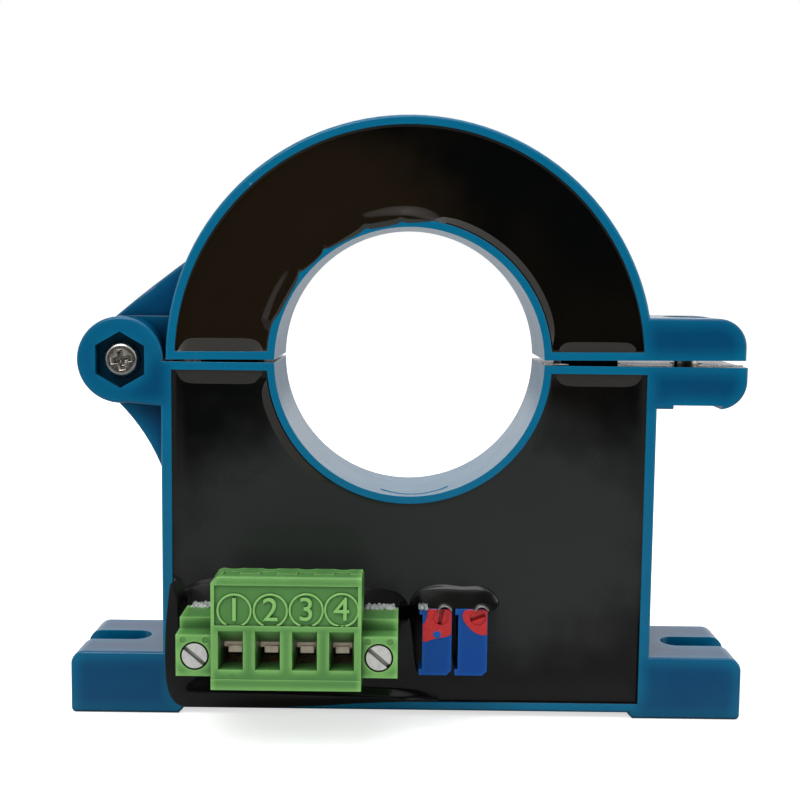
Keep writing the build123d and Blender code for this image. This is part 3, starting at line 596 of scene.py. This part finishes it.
# Angles and radii of the scallops' rim
scallops = ((168, 21.1), (165, 20.98), (163.2, 20.95), (160, 20.55), (154, 20.32), (147, 20.35),
            (143, 20.6), (141.1, 20.92), (139, 20.62), (134, 20.4), (129.5, 20.55), (127.5, 20.9),
            (125, 20.52), (118, 20.28), (112, 20.38), (108.7, 20.72), (106, 20.42), (100, 20.3),
            (96, 20.42), (94, 20.7), (91, 20.55), (84, 20.75), (76, 21.0))
scallop_rim = [round_window(radius, angle) for angle, radius in scallops]
scallop_edge = [round_window(wall_radius, angle) for angle, radius in scallops]
grey_widths = ((0.15,), (0.5,), (0.3,), (0.15,), (0.75,), (0.85,), (0.35,))
run_over("resin_lip_window", scallop_rim, scallop_edge, 7.0, upper_level, gloss_resin, "upper_half",
         grey_widths)

film_rim = ((-35.6, -32.5), (-35.9, -35.5), (-36.35, -39.9), (-36.5, -43.5), (-36.5, -46.5),
            (-36.3, -49.3), (-35.6, -51.4), (-33.8, -52.7), (-28.0, -52.75), (-20.0, -52.7),
            (-13.0, -52.4), (-8.0, -52.0), (-2.0, -51.7), (5.0, -51.5))
film_edge = ((-35.1, -32.5), (-34.9, -35.5), (-34.8, -39.9), (-34.8, -43.5), (-34.8, -46.5),
             (-34.6, -48.8), (-34.2, -50.2), (-32.8, -50.9), (-28.0, -51.1), (-20.0, -51.1),
             (-13.0, -51.1), (-8.0, -51.1), (-2.0, -51.2), (5.0, -51.2))
run_over("resin_film_wall", film_rim, film_edge, 3.6, lower_level, hazy_resin_painted_reflection, "base")

# %% [markdown]
# ## Grey bands at the walls
#
# At the split, and along parts of the window's wall, the resin climbs in a shallow slope. It mirrors
# a paler part of the room there, and shows as a grey band. Each band is a thin lens that lies on the
# skin, a little higher at the wall than at its inner rim, and its grey is a painted reflection in its
# colour. One function makes them all, and is told whether the wall runs straight or round the window.


# %%
# Thin lenses at the foot of the walls
def resin_band(name, wall, width, columns, level, body):
    """A lens from the wall inwards, where wall(u, reach) gives the place in x and z."""
    rise, above, tip = 0.3, 0.015, 0.02

    def place(u, v):
        x, z = wall(u, (width * (1 - abs(2 * u - 1) ** 8) + tip) * v)
        return x, level - above - rise * (1 - v), z
    # Painted reflection: the band's grey colour stands for the paler room that it mirrors
    complete(shaped_sheet(name, columns, 10, place), grey_band_painted_reflection, body, 60)


def straight_wall(left, right, height):
    return lambda u, reach: (left + (right - left) * u, height + reach)


def curved_wall(first, last):
    return lambda u, reach: round_window(wall_radius - 0.05 + reach, first + (last - first) * u)


upper_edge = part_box("upper_potting")[0].z / MM
lower_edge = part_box("lower_potting")[1].z / MM
bands = (("upper_left", straight_wall(-34.5, -21.4, upper_edge), 2.0, 60),
         ("upper_right", straight_wall(21.4, 34.5, upper_edge), 2.0, 60),
         ("lower_left", straight_wall(-34.9, -21.4, lower_edge), -2.1, 60),
         ("lower_right", straight_wall(21.4, 34.9, lower_edge), -1.9, 60),
         ("wall_upper", curved_wall(84, 7), 1.0, 90), ("wall_lower", curved_wall(187, 238), 1.3, 90))
for name, wall, width, columns in bands:
    half = (upper_level, "upper_half") if "upper" in name else (lower_level, "base")
    resin_band("resin_band_" + name, wall, width, columns, *half)

# %% [markdown]
# ## Mounds of resin
#
# The mounds are sheets too. Their outer rim is a rounded blob on the resin, their inner rim
# lies against the connector or the trimmers, and between the two the height first turns up steeply,
# as the edge of a drop does, and then climbs to where the resin wets the wall.


# %%
# Mounds of resin round the connector's flanges and the trimmers
mound_foot, drop_height, drop_share = -8.35, 0.4, 0.35


def mound(name, outer, inner, climb):
    """A sheet from the outer rim up to the inner one, with a drop's round edge."""
    def place(u, v):
        x, z = (o + (i - o) * v for o, i in zip(along(outer, u), along(inner, u)))
        height = drop_height * (1 - (1 - min(1.0, v / drop_share)) ** 3) ** 0.5 + climb * v ** 2.2
        return x, mound_foot - height * between_ends(u, 0.08, 0.08) ** 0.5, z
    complete(shaped_sheet(name, 72, 16, place), gloss_resin, "base", 80)


mound("resin_mound_flange_left",
      ((-35.25, -42.5), (-35.25, -40.4), (-35.2, -38.4), (-34.9, -36.3), (-33.7, -34.5), (-31.9, -33.4),
       (-29.8, -32.9), (-27.9, -32.7), (-26.4, -33.0)),
      [(-31.85, z) for z in (-42.4, -40.4, -38.4, -36.2)]
      + [(x, -35.05) for x in (-31.8, -30.4, -29.3, -28.2, -26.4)], 7.2)
mound("resin_mound_flange_right",
      ((-6.9, -34.2), (-6.0, -34.0), (-4.4, -34.1), (-2.7, -34.4), (-1.2, -34.9), (-0.1, -35.9),
       (0.45, -37.0), (0.5, -38.5), (-0.1, -39.5)),
      [(x, -35.05) for x in (-6.9, -5.6, -4.2, -2.6, -1.2)]
      + [(-1.15, z) for z in (-36.2, -37.4, -38.6, -39.5)], 7.2)
mound("resin_mound_trimmers",
      ((1.75, -47.3), (1.3, -45.6), (0.95, -42.6), (0.6, -39.8), (0.2, -37.6), (0.75, -35.6),
       (1.8, -34.3), (3.4, -33.6), (5.6, -33.3), (8.3, -33.55), (10.7, -33.5), (12.4, -34.0),
       (13.6, -35.1), (14.1, -36.4), (13.2, -37.5)),
      [(2.0, -46.6), *((2.35, z) for z in (-45.4, -42.6, -39.8, -37.6)), (2.4, -35.7)]
      + [(x, -35.55) for x in (2.8, 3.8, 5.6, 8.2, 10.6)]
      + [(11.7, -35.65), (11.95, -36.0), (11.95, -36.6), (11.95, -37.4)], 5.5)

# %% [markdown]
# ## Raised numbers on the connector
#
# The green plug carries the numbers 1 to 4, each in a ring, raised in the moulding by some tenths of
# a millimetre. Blender's text object makes the digits: extruded and bevelled it is turned into a mesh,
# because only a mesh can hold its place in its points. The rings are tori, cut off where the panel
# ends.

# %%
# Digits and rings
plug_low, plug_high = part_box("plug_housing")
panel_depth, top_step, panel_height = 0.35, 1.4, 5.6
panel_face = plug_low.y / MM + panel_depth
panel_bottom = plug_high.z / MM - top_step - panel_height
digit_shape = {"align_x": "CENTER", "align_y": "CENTER", "size": 4.6 * MM, "extrude": 0.1 * MM,
               "bevel_depth": 0.07 * MM, "bevel_resolution": 2, "offset": -0.04 * MM}
number_places = ((-23.6, -32.95), (-18.65, -32.9), (-13.75, -32.8), (-8.9, -32.7))
for number, (x, z) in enumerate(number_places, 1):
    bpy.ops.object.text_add(rotation=upright)
    for setting, value in {"body": str(number), **digit_shape}.items():
        setattr(bpy.context.object.data, setting, value)
    bpy.ops.object.convert(target="MESH")
    bpy.context.object.location = mm(x, panel_face - 0.05, z)
    complete(name_it(f"plug_number_{number}"), green_polyamide, "plug", 50)
    bpy.ops.mesh.primitive_torus_add(major_segments=72, minor_segments=10, rotation=upright,
                                     major_radius=2.27 * MM, minor_radius=0.17 * MM,
                                     location=mm(x, panel_face, z))
    ring = name_it(f"plug_ring_{number}")
    open_piece(ring, everything=True)
    bpy.ops.mesh.bisect(plane_co=mm(0, 0, panel_bottom + 0.05), plane_no=(0, 0, 1),
                        clear_inner=True, use_fill=True)
    complete(ring, green_polyamide, "plug", 50)

# %% [markdown]
# ## Lacquer on the trimmers
#
# The two dabs of red lacquer were brushed on and each has its own outline, so a plain rectangle
# would be wrong. Each outline is typed in as a list of points on the trimmer's face, filled, pulled
# out to the coat's thickness, and its rim is rounded with a bevel, as surface tension leaves it. The
# pieces stand in for the CAD's simpler dabs.


# %%
# Coats with a hand-brushed outline
def brushed_coat(name, outline, face, thick):
    """A filled outline in mm, given a thickness towards the front and a round rim."""
    sunk = 0.02
    bpy.ops.mesh.primitive_circle_add(vertices=len(outline), radius=1, fill_type="NGON")
    piece = name_it(name)
    for point, (x, z) in zip(piece.data.vertices, outline):
        point.co = mm(x, face + sunk, z)
    piece.data.update()
    open_piece(piece, everything=True)
    bpy.ops.mesh.extrude_region_move(TRANSFORM_OT_translate={"value": mm(0, -thick - sunk, 0)})
    pick_faces(piece, lambda middle, normal: middle.y < (face - thick + 0.01) * MM)
    bpy.ops.mesh.bevel(offset=0.07 * MM, segments=3)
    bpy.ops.mesh.select_all(action="SELECT")
    bpy.ops.mesh.normals_make_consistent(inside=False)
    return piece


def middle_of(node):
    low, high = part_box(node)
    return (low + high) / 2


trimmer_low, trimmer_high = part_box("trimmer_left")
trimmer_face, trimmer_top, trimmer_width = trimmer_low.y / MM, trimmer_high.z / MM, 4.3
left_edge = trimmer_high.x / MM - trimmer_width
right_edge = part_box("trimmer_right")[1].x / MM - trimmer_width
# The dabs' outlines, measured from each trimmer's upper left corner
left_dab = ((0.8, 0.06), (0.72, 0.55), (0.66, 1.05), (0.52, 1.75), (0.3, 2.15), (0.06, 2.4),
            (0.06, 3.6), (0.06, 4.95), (0.5, 5.0), (0.95, 4.82), (1.45, 4.6), (2.45, 4.38),
            (3.4, 4.22), (4.24, 3.85), (4.24, 2.4), (4.24, 1.2), (4.24, 0.35), (3.9, 0.06),
            (2.4, 0.06))
right_dab = ((1.05, 0.15), (0.74, 0.5), (0.58, 0.95), (0.68, 1.45), (0.92, 1.95), (1.28, 2.45),
             (1.7, 2.92), (2.25, 3.38), (2.85, 3.72), (3.45, 3.88), (4.24, 3.86), (4.24, 2.4),
             (4.24, 1.1), (4.22, 0.35), (3.85, 0.1), (2.6, 0.06), (1.7, 0.07))
for side, edge, dab in (("left", left_edge, left_dab), ("right", right_edge, right_dab)):
    outline = [(edge + u, trimmer_top - v) for u, v in dab]
    coat = brushed_coat(f"lacquer_dab_{side}", outline, trimmer_face, 0.1)
    centre = middle_of(f"trimmer_screw_{side}")
    deselect_all()
    bpy.ops.mesh.primitive_cylinder_add(vertices=48, radius=1.16 * MM, depth=2 * MM, rotation=upright,
                                        location=(centre.x, trimmer_face * MM, centre.z))
    cut_away(coat, name_it("lacquer_cutter"))
    complete(coat, red_lacquer, "base")
    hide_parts(f"trimmer_lacquer_{side}")

# %% [markdown]
# ## Trimmer details
#
# Over each trimmer's screw a bright metal bush looks out of the top of the moulding as a half ring,
# and a small blue ejector mark shows through the left dab. The bush is a torus cut through with a
# bisect and stretched back into the moulding, and the mark is a sphere pressed flat.


# %%
# Half rings over the screws and the ejector mark
for side in ("left", "right"):
    bpy.ops.mesh.primitive_torus_add(major_segments=64, minor_segments=14, major_radius=1.02 * MM,
                                     minor_radius=0.26 * MM, rotation=upright)
    bush = name_it(f"trimmer_bush_{side}")
    open_piece(bush, everything=True)
    bpy.ops.mesh.bisect(plane_co=mm(0, 0, 0.38), plane_no=(0, 0, 1), clear_inner=True, use_fill=True)
    bpy.ops.mesh.select_all(action="SELECT")
    bpy.ops.transform.resize(value=(1, 3.2, 1))
    bush_x = middle_of(f"trimmer_screw_{side}").x / MM + 0.55
    bpy.ops.transform.translate(value=mm(bush_x, trimmer_face + 0.3, trimmer_top - 0.55))
    complete(bush, nickel_steel, "base", 50)

bpy.ops.mesh.primitive_uv_sphere_add(segments=32, ring_count=16, radius=0.62 * MM, scale=(1.05, 0.16, 0.92),
                                     location=mm(left_edge + 2.15, trimmer_face - 0.06, trimmer_top - 3.85))
complete(name_it("trimmer_mark"), trimmer_blue, "base")

# %% [markdown]
# ## The hinge screw's worn head
#
# The hinge turns on a nickel-plated screw whose cross recess is wide and worn. The CAD's recess is a
# narrow cross, so this piece stands in for it. It is one cylinder: its front rim is bevelled round,
# its back face is inset and pulled out to make the shank, and two tapered bars are cut out of the
# head with booleans. A last small bevel breaks the sharp edges, as wear does.

# %%
# Head, shank and cross recess
screw_low, screw_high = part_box("hinge_screw")
head_x, head_z = (screw_low.x + screw_high.x) / 2, (screw_low.z + screw_high.z) / 2
head_middle = (head_x, screw_low.y, head_z)
head_radius, head_height, shank_step = 2.55 * MM, 1.9 * MM, 1.05 * MM
shank_length = screw_high.y - screw_low.y - head_height
bpy.ops.mesh.primitive_cylinder_add(vertices=72, radius=head_radius, depth=head_height, rotation=upright,
                                    location=(head_x, screw_low.y + head_height / 2, head_z))
hinge_head = name_it("hinge_screw_worn")
open_piece(hinge_head)
pick_faces(hinge_head, lambda middle, normal: normal.y > 0.9)
bpy.ops.mesh.inset(thickness=shank_step)
bpy.ops.mesh.extrude_region_move(TRANSFORM_OT_translate={"value": (0, shank_length, 0)})
bpy.ops.mesh.bevel(offset=0.25 * MM, segments=1)
pick_faces(hinge_head, lambda middle, normal: normal.y < -0.9)
bpy.ops.mesh.bevel(offset=0.6 * MM, segments=6)
bar_length, bar_width, bar_depth, bar_taper, bar_turn = 4.3, 1.25, 2.6, 0.45, radians(9)
for size in ((bar_length, bar_depth, bar_width), (bar_width, bar_depth, bar_length)):
    deselect_all()
    bpy.ops.mesh.primitive_cube_add(size=1, location=head_middle, scale=mm(*size))
    bar = name_it("recess_cutter")
    open_piece(bar)
    pick_faces(bar, lambda middle, normal: normal.y > 0.9)
    bpy.ops.transform.resize(value=(bar_taper, 1, bar_taper), center_override=head_middle)
    bpy.ops.mesh.select_all(action="SELECT")
    bpy.ops.transform.rotate(value=bar_turn, orient_axis="Y", center_override=head_middle)
    cut_away(hinge_head, bar)
wear = hinge_head.modifiers.new("wear", "BEVEL")
wear.width = 0.09 * MM
wear.segments = 2
wear.limit_method = "ANGLE"
wear.angle_limit = radians(40)
apply_modifiers(hinge_head)
complete(hinge_head, nickel_steel, "base", 35)
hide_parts("hinge_screw")

# %% [markdown]
# ## Tongues in the wire entries
#
# In each wire entry the contact's tongue ends in a narrow tab that is bent down, and it is the first
# thing the light catches in the dark opening. Each tab is a mesh of its own: a cube squeezed to a
# plate, its lower end pulled forward, clear of the cage that rises behind it, and its edges rounded
# with a bevel.

# %%
# Four bent tabs
first_low, first_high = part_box("plug_contact_1")
tab_y, tab_z = first_low.y / MM - 0.12, first_high.z / MM - 0.95
for number, tab_x in enumerate((-23.85, -18.8, -13.84, -8.9), 1):
    bpy.ops.mesh.primitive_cube_add(size=1, scale=mm(1.95, 0.34, 0.95), location=mm(tab_x, tab_y, tab_z))
    tab = name_it(f"contact_tab_{number}")
    open_piece(tab)
    pick_faces(tab, lambda middle, normal: normal.z < -0.9)
    bpy.ops.transform.translate(value=mm(0, -0.15, 0))
    bpy.ops.mesh.select_all(action="SELECT")
    bpy.ops.mesh.bevel(offset=0.09 * MM, segments=3, affect="EDGES")
    complete(tab, tinned_brass, "plug", 35)

# %% [markdown]
# ## Glue on the connector and crumbs in the split
#
# Clear glue was dabbed where the resin meets the connector's flanges, and its glint is painted into its
# pale colour. It is a narrow wavy sheet that lies on the flange and dips at its front. Pale grey crumbs
# sit in the split on the right: short rods, cut up and pushed about by a Displace modifier with a cloud
# texture, which gives torn shapes that no plain rod has. They leave a little air below the upper half.


# %%
# Wavy glue, then torn crumbs
def glue_strip(name, left, right, back, deep, top):
    """A wavy strip from left to right in x, from back forwards by deep, that lies on top."""
    def place(u, v):
        x = left + (right - left) * u
        wave = 0.16 * sin(19 * u + 2.0) * sin(9 * v + 7 * u) + 0.1 * sin(43 * u + 5 * v)
        crown = 0.42 * (1 - (2 * v - 1) ** 2) ** 0.5
        height = (crown + wave) * between_ends(u, 0.07, 0.07)
        return x, back - deep * v - 0.25 * wave, top - 0.06 + height
    complete(shaped_sheet(name, 60, 12, place), glue_painted_glint, "base", 60)


flange_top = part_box("terminal_header")[1].z / MM
# Painted glint: the glue strips take a pale silvery colour
glue_strip("glue_flange_left", -31.3, -26.9, -14.6, 2.4, flange_top)
glue_strip("glue_flange_right", -6.1, -1.5, -14.6, 2.4, flange_top)
glue_strip("glue_trimmer", 1.7, 3.2, -12.4, 2.3, trimmer_top)

# A pale grey finish for the crumbs in the split
pale_crumb_finish = coating("pale_crumb_finish", "c9cac7", "7d7e7b", 0.7, 0.35, 0.2, 0.12)
clouds = bpy.data.textures.new("torn", "CLOUDS")
clouds.noise_scale = 0.5 * MM
crumb_y, crumb_sunk, crumb_flatness = -8.5, 0.12, 2.2
# Each crumb's two ends in x, and its radius
crumbs = ((19.9, 23.6, 0.15), (32.2, 38.4, 0.19), (42.8, 44.4, 0.17), (45.6, 49.4, 0.2))
for number, (start, end, size) in enumerate(crumbs, 1):
    bpy.ops.mesh.primitive_cylinder_add(vertices=12, radius=size * MM, depth=(end - start) * MM,
                                        rotation=(0, pi / 2, 0), scale=(1, crumb_flatness, 1),
                                        location=mm((start + end) / 2, crumb_y, size - crumb_sunk))
    crumb = name_it(f"foam_crumb_{number}")
    open_piece(crumb, everything=True)
    mesh = bmesh.from_edit_mesh(crumb.data)
    for edge in mesh.edges:
        edge.select_set(abs(edge.verts[0].co.x - edge.verts[1].co.x) > 0.5 * (end - start) * MM)
    bmesh.update_edit_mesh(crumb.data)
    bpy.ops.mesh.subdivide(number_cuts=int((end - start) * 7))
    rough = crumb.modifiers.new("torn", "DISPLACE")
    rough.texture = clouds
    rough.texture_coords = "LOCAL"
    rough.strength = 0.16 * MM
    rough.mid_level = 0.75
    apply_modifiers(crumb)
    complete(crumb, pale_crumb_finish, "base", 60)

# %% [markdown]
# ## Gate mark in the window
#
# Where the plastic ran into the mould, a flat lens-shaped mark is left on the bottom of the window's
# wall. It is a sheet that follows the wall's curve, a tenth of a millimetre thick in the middle, with
# an outline of two arcs.


# %%
# A lens that lies on the curved wall
def gate_place(u, v):
    left, length, middle_y, half_width, window_radius, thick = -4.3, 10.6, -4.9, 2.3, 20.0, 0.1
    x = left + length * u
    half = half_width * sin(pi * u) ** 0.8 + 0.02
    rim = min(1.0, (1 - abs(2 * v - 1)) / 0.12, u / 0.04, (1 - u) / 0.04)
    return x, middle_y + half * (2 * v - 1), -((window_radius - thick * rim) ** 2 - x ** 2) ** 0.5


gate = shaped_sheet("window_gate_mark", 60, 24, gate_place, outward=(0, 0, 1))
complete(gate, blue_abs, "base", 60)

# %% [markdown]
# ## Floor
#
# The object stands on a pale table. The camera should see it run on into a white background, yet the
# floor must keep the object's shadow. So its shader is a matt white with an extra glow that only
# camera rays see: lit parts clip to white, and shaded parts stay darker. It ends not far in front of
# the object, because the dark room beyond is what the glossy resin mirrors.

# %%
# A pale floor that ends in front of the object
floor_level = cad_box[0][2]
near_end, far_end, half_width = -0.25, 3.0, 1.5
bpy.ops.mesh.primitive_plane_add(size=2)
floor = bpy.context.object
floor.name = "floor"
for point in floor.data.vertices:
    x, y, z = point.co
    point.co = (x * half_width, near_end if y < 0 else far_end, floor_level - 0.02 * MM)
floor_white, add, place = start_material("floor_white", {"Roughness": 0.9})
tree = floor_white.node_tree
shader = tree.nodes["Principled BSDF"]
rays = add("LightPath")
spot = add("SeparateXYZ", links={"Vector": place})
# Painted shade for reflections: mirrored rays see the floor in front of the object grey instead of near
# white
before = add("MapRange", {"From Min": 0.01, "From Max": -0.03}, {"Value": spot.outputs["Y"]})
dim = add("Math", links={0: rays.outputs["Is Glossy Ray"], 1: before.outputs[0]}, operation="MULTIPLY")
tone = add("Mix", {6: colour("e6e6e6"), 7: colour("808080")}, {0: dim.outputs[0]}, data_type="RGBA")
tree.links.new(tone.outputs[2], shader.inputs["Base Color"])
seen = add("Math", {1: 0.65}, {0: rays.outputs["Is Camera Ray"]}, operation="MULTIPLY")
glow = add("Emission", {"Color": (1, 1, 1, 1)}, {"Strength": seen.outputs[0]})
both = add("AddShader", links={0: shader.outputs[0], 1: glow.outputs[0]})
tree.links.new(both.outputs[0], tree.nodes["Material Output"].inputs["Surface"])
floor.data.materials.append(floor_white)
print("floor at", round(floor_level / MM, 2), "mm")

# %% [markdown]
# ## Light
#
# The photograph was taken in soft daylight from above and in front, with white card behind the
# object and a darker room before it. The world gives the soft part. Camera rays see plain white, and
# mirrored rays see white behind and above and a dim room in front, which keeps the black resin black.
# Three large area lamps add the direction that the highlights on the edges show.

# %%
# World, lamps and view settings
world = bpy.data.worlds.new("studio")
bpy.context.scene.world = world
world.use_nodes = True
world.node_tree.nodes.clear()
add = partial(add_node, world.node_tree)
rays = add("LightPath")
heading = add("TexCoord")
parts = add("SeparateXYZ", links={"Vector": heading.outputs["Generated"]})
flat = add("VectorMath", {1: (0.55, 0.0, 1.0)}, {0: heading.outputs["Generated"]}, operation="MULTIPLY")
from_axis = add("VectorMath", links={0: flat.outputs[0]}, operation="LENGTH")
behind = add("MapRange", {"From Min": -0.35, "From Max": 0.25}, {"Value": parts.outputs["Y"]})
away = add("Math", links={0: from_axis.outputs["Value"], 1: behind.outputs[0]})
room = add("ValToRGB", links={"Fac": away.outputs[0]})
stops = room.color_ramp.elements
stops.new(0.41)
for stop, (position, grey) in zip(stops, ((0.34, 0.015), (0.41, 0.5), (0.95, 1.0))):
    stop.position = position
    stop.color = (grey, grey, grey, 1)
mirrored = add("Mix", {6: (1, 1, 1, 1)},
               {0: rays.outputs["Is Glossy Ray"], 7: room.outputs["Color"]}, data_type="RGBA")
shown = add("Background", links={"Color": mirrored.outputs[2]})
soft = add("Background", {"Color": (1, 1, 1, 1), "Strength": 0.5})
either = add("Math", links={0: rays.outputs["Is Camera Ray"], 1: rays.outputs["Is Glossy Ray"]},
             operation="MAXIMUM")
seen = add("Math", links={0: either.outputs[0], 1: rays.outputs["Is Transmission Ray"]},
           operation="MAXIMUM")
mixed = add("MixShader", links={0: seen.outputs[0], 1: soft.outputs[0], 2: shown.outputs[0]})
add("OutputWorld", links={"Surface": mixed.outputs[0]})


def add_lamp(name, place, size, power, target=(0, 0, -0.01)):
    """A square area lamp that faces the target."""
    light = bpy.data.lights.new(name, "AREA")
    light.shape = "SQUARE"
    light.size = size
    light.energy = power
    lamp = bpy.data.objects.new(name, light)
    lamp.location = place
    lamp.rotation_euler = (Vector(target) - Vector(place)).to_track_quat("-Z", "Y").to_euler()
    bpy.context.collection.objects.link(lamp)


add_lamp("window_lamp", (-0.22, -0.42, 0.52), 0.4, 2.5)
add_lamp("ceiling_lamp", (0.05, 0.06, 0.65), 0.55, 2.0)
add_lamp("card_lamp", (0.62, -0.2, 0.1), 0.35, 0.5)
bpy.context.scene.view_settings.view_transform = "Standard"

# %% [markdown]
# ## Camera
#
# The camera stands about 19 cm in front of the window, a little above its middle, and looks slightly
# down. Its place and lens were matched to the object's edges in the photograph. The turn about the
# view's own axis comes last, so the three turns are multiplied in that order.

# %%
# The photograph's camera
camera_data = bpy.data.cameras.new("camera")
camera_data.lens = 54.87
camera_data.clip_start = 0.01
camera = bpy.data.objects.new("camera", camera_data)
bpy.context.collection.objects.link(camera)
yaw, tilt, roll = 0.156, 5.664, 0.641
turn = (Matrix.Rotation(radians(yaw), 4, "Z") @ Matrix.Rotation(radians(90 - tilt), 4, "X")
        @ Matrix.Rotation(radians(roll), 4, "Z"))
camera.matrix_world = Matrix.Translation(mm(-0.83, -189.05, 12.37)) @ turn
bpy.context.scene.camera = camera
print("camera at", [round(v, 4) for v in camera.location])

# %% [markdown]
# ## The end
#
# The last step brings the view layer up to date.

# %%
# Bring the view layer up to date
bpy.context.view_layer.update()
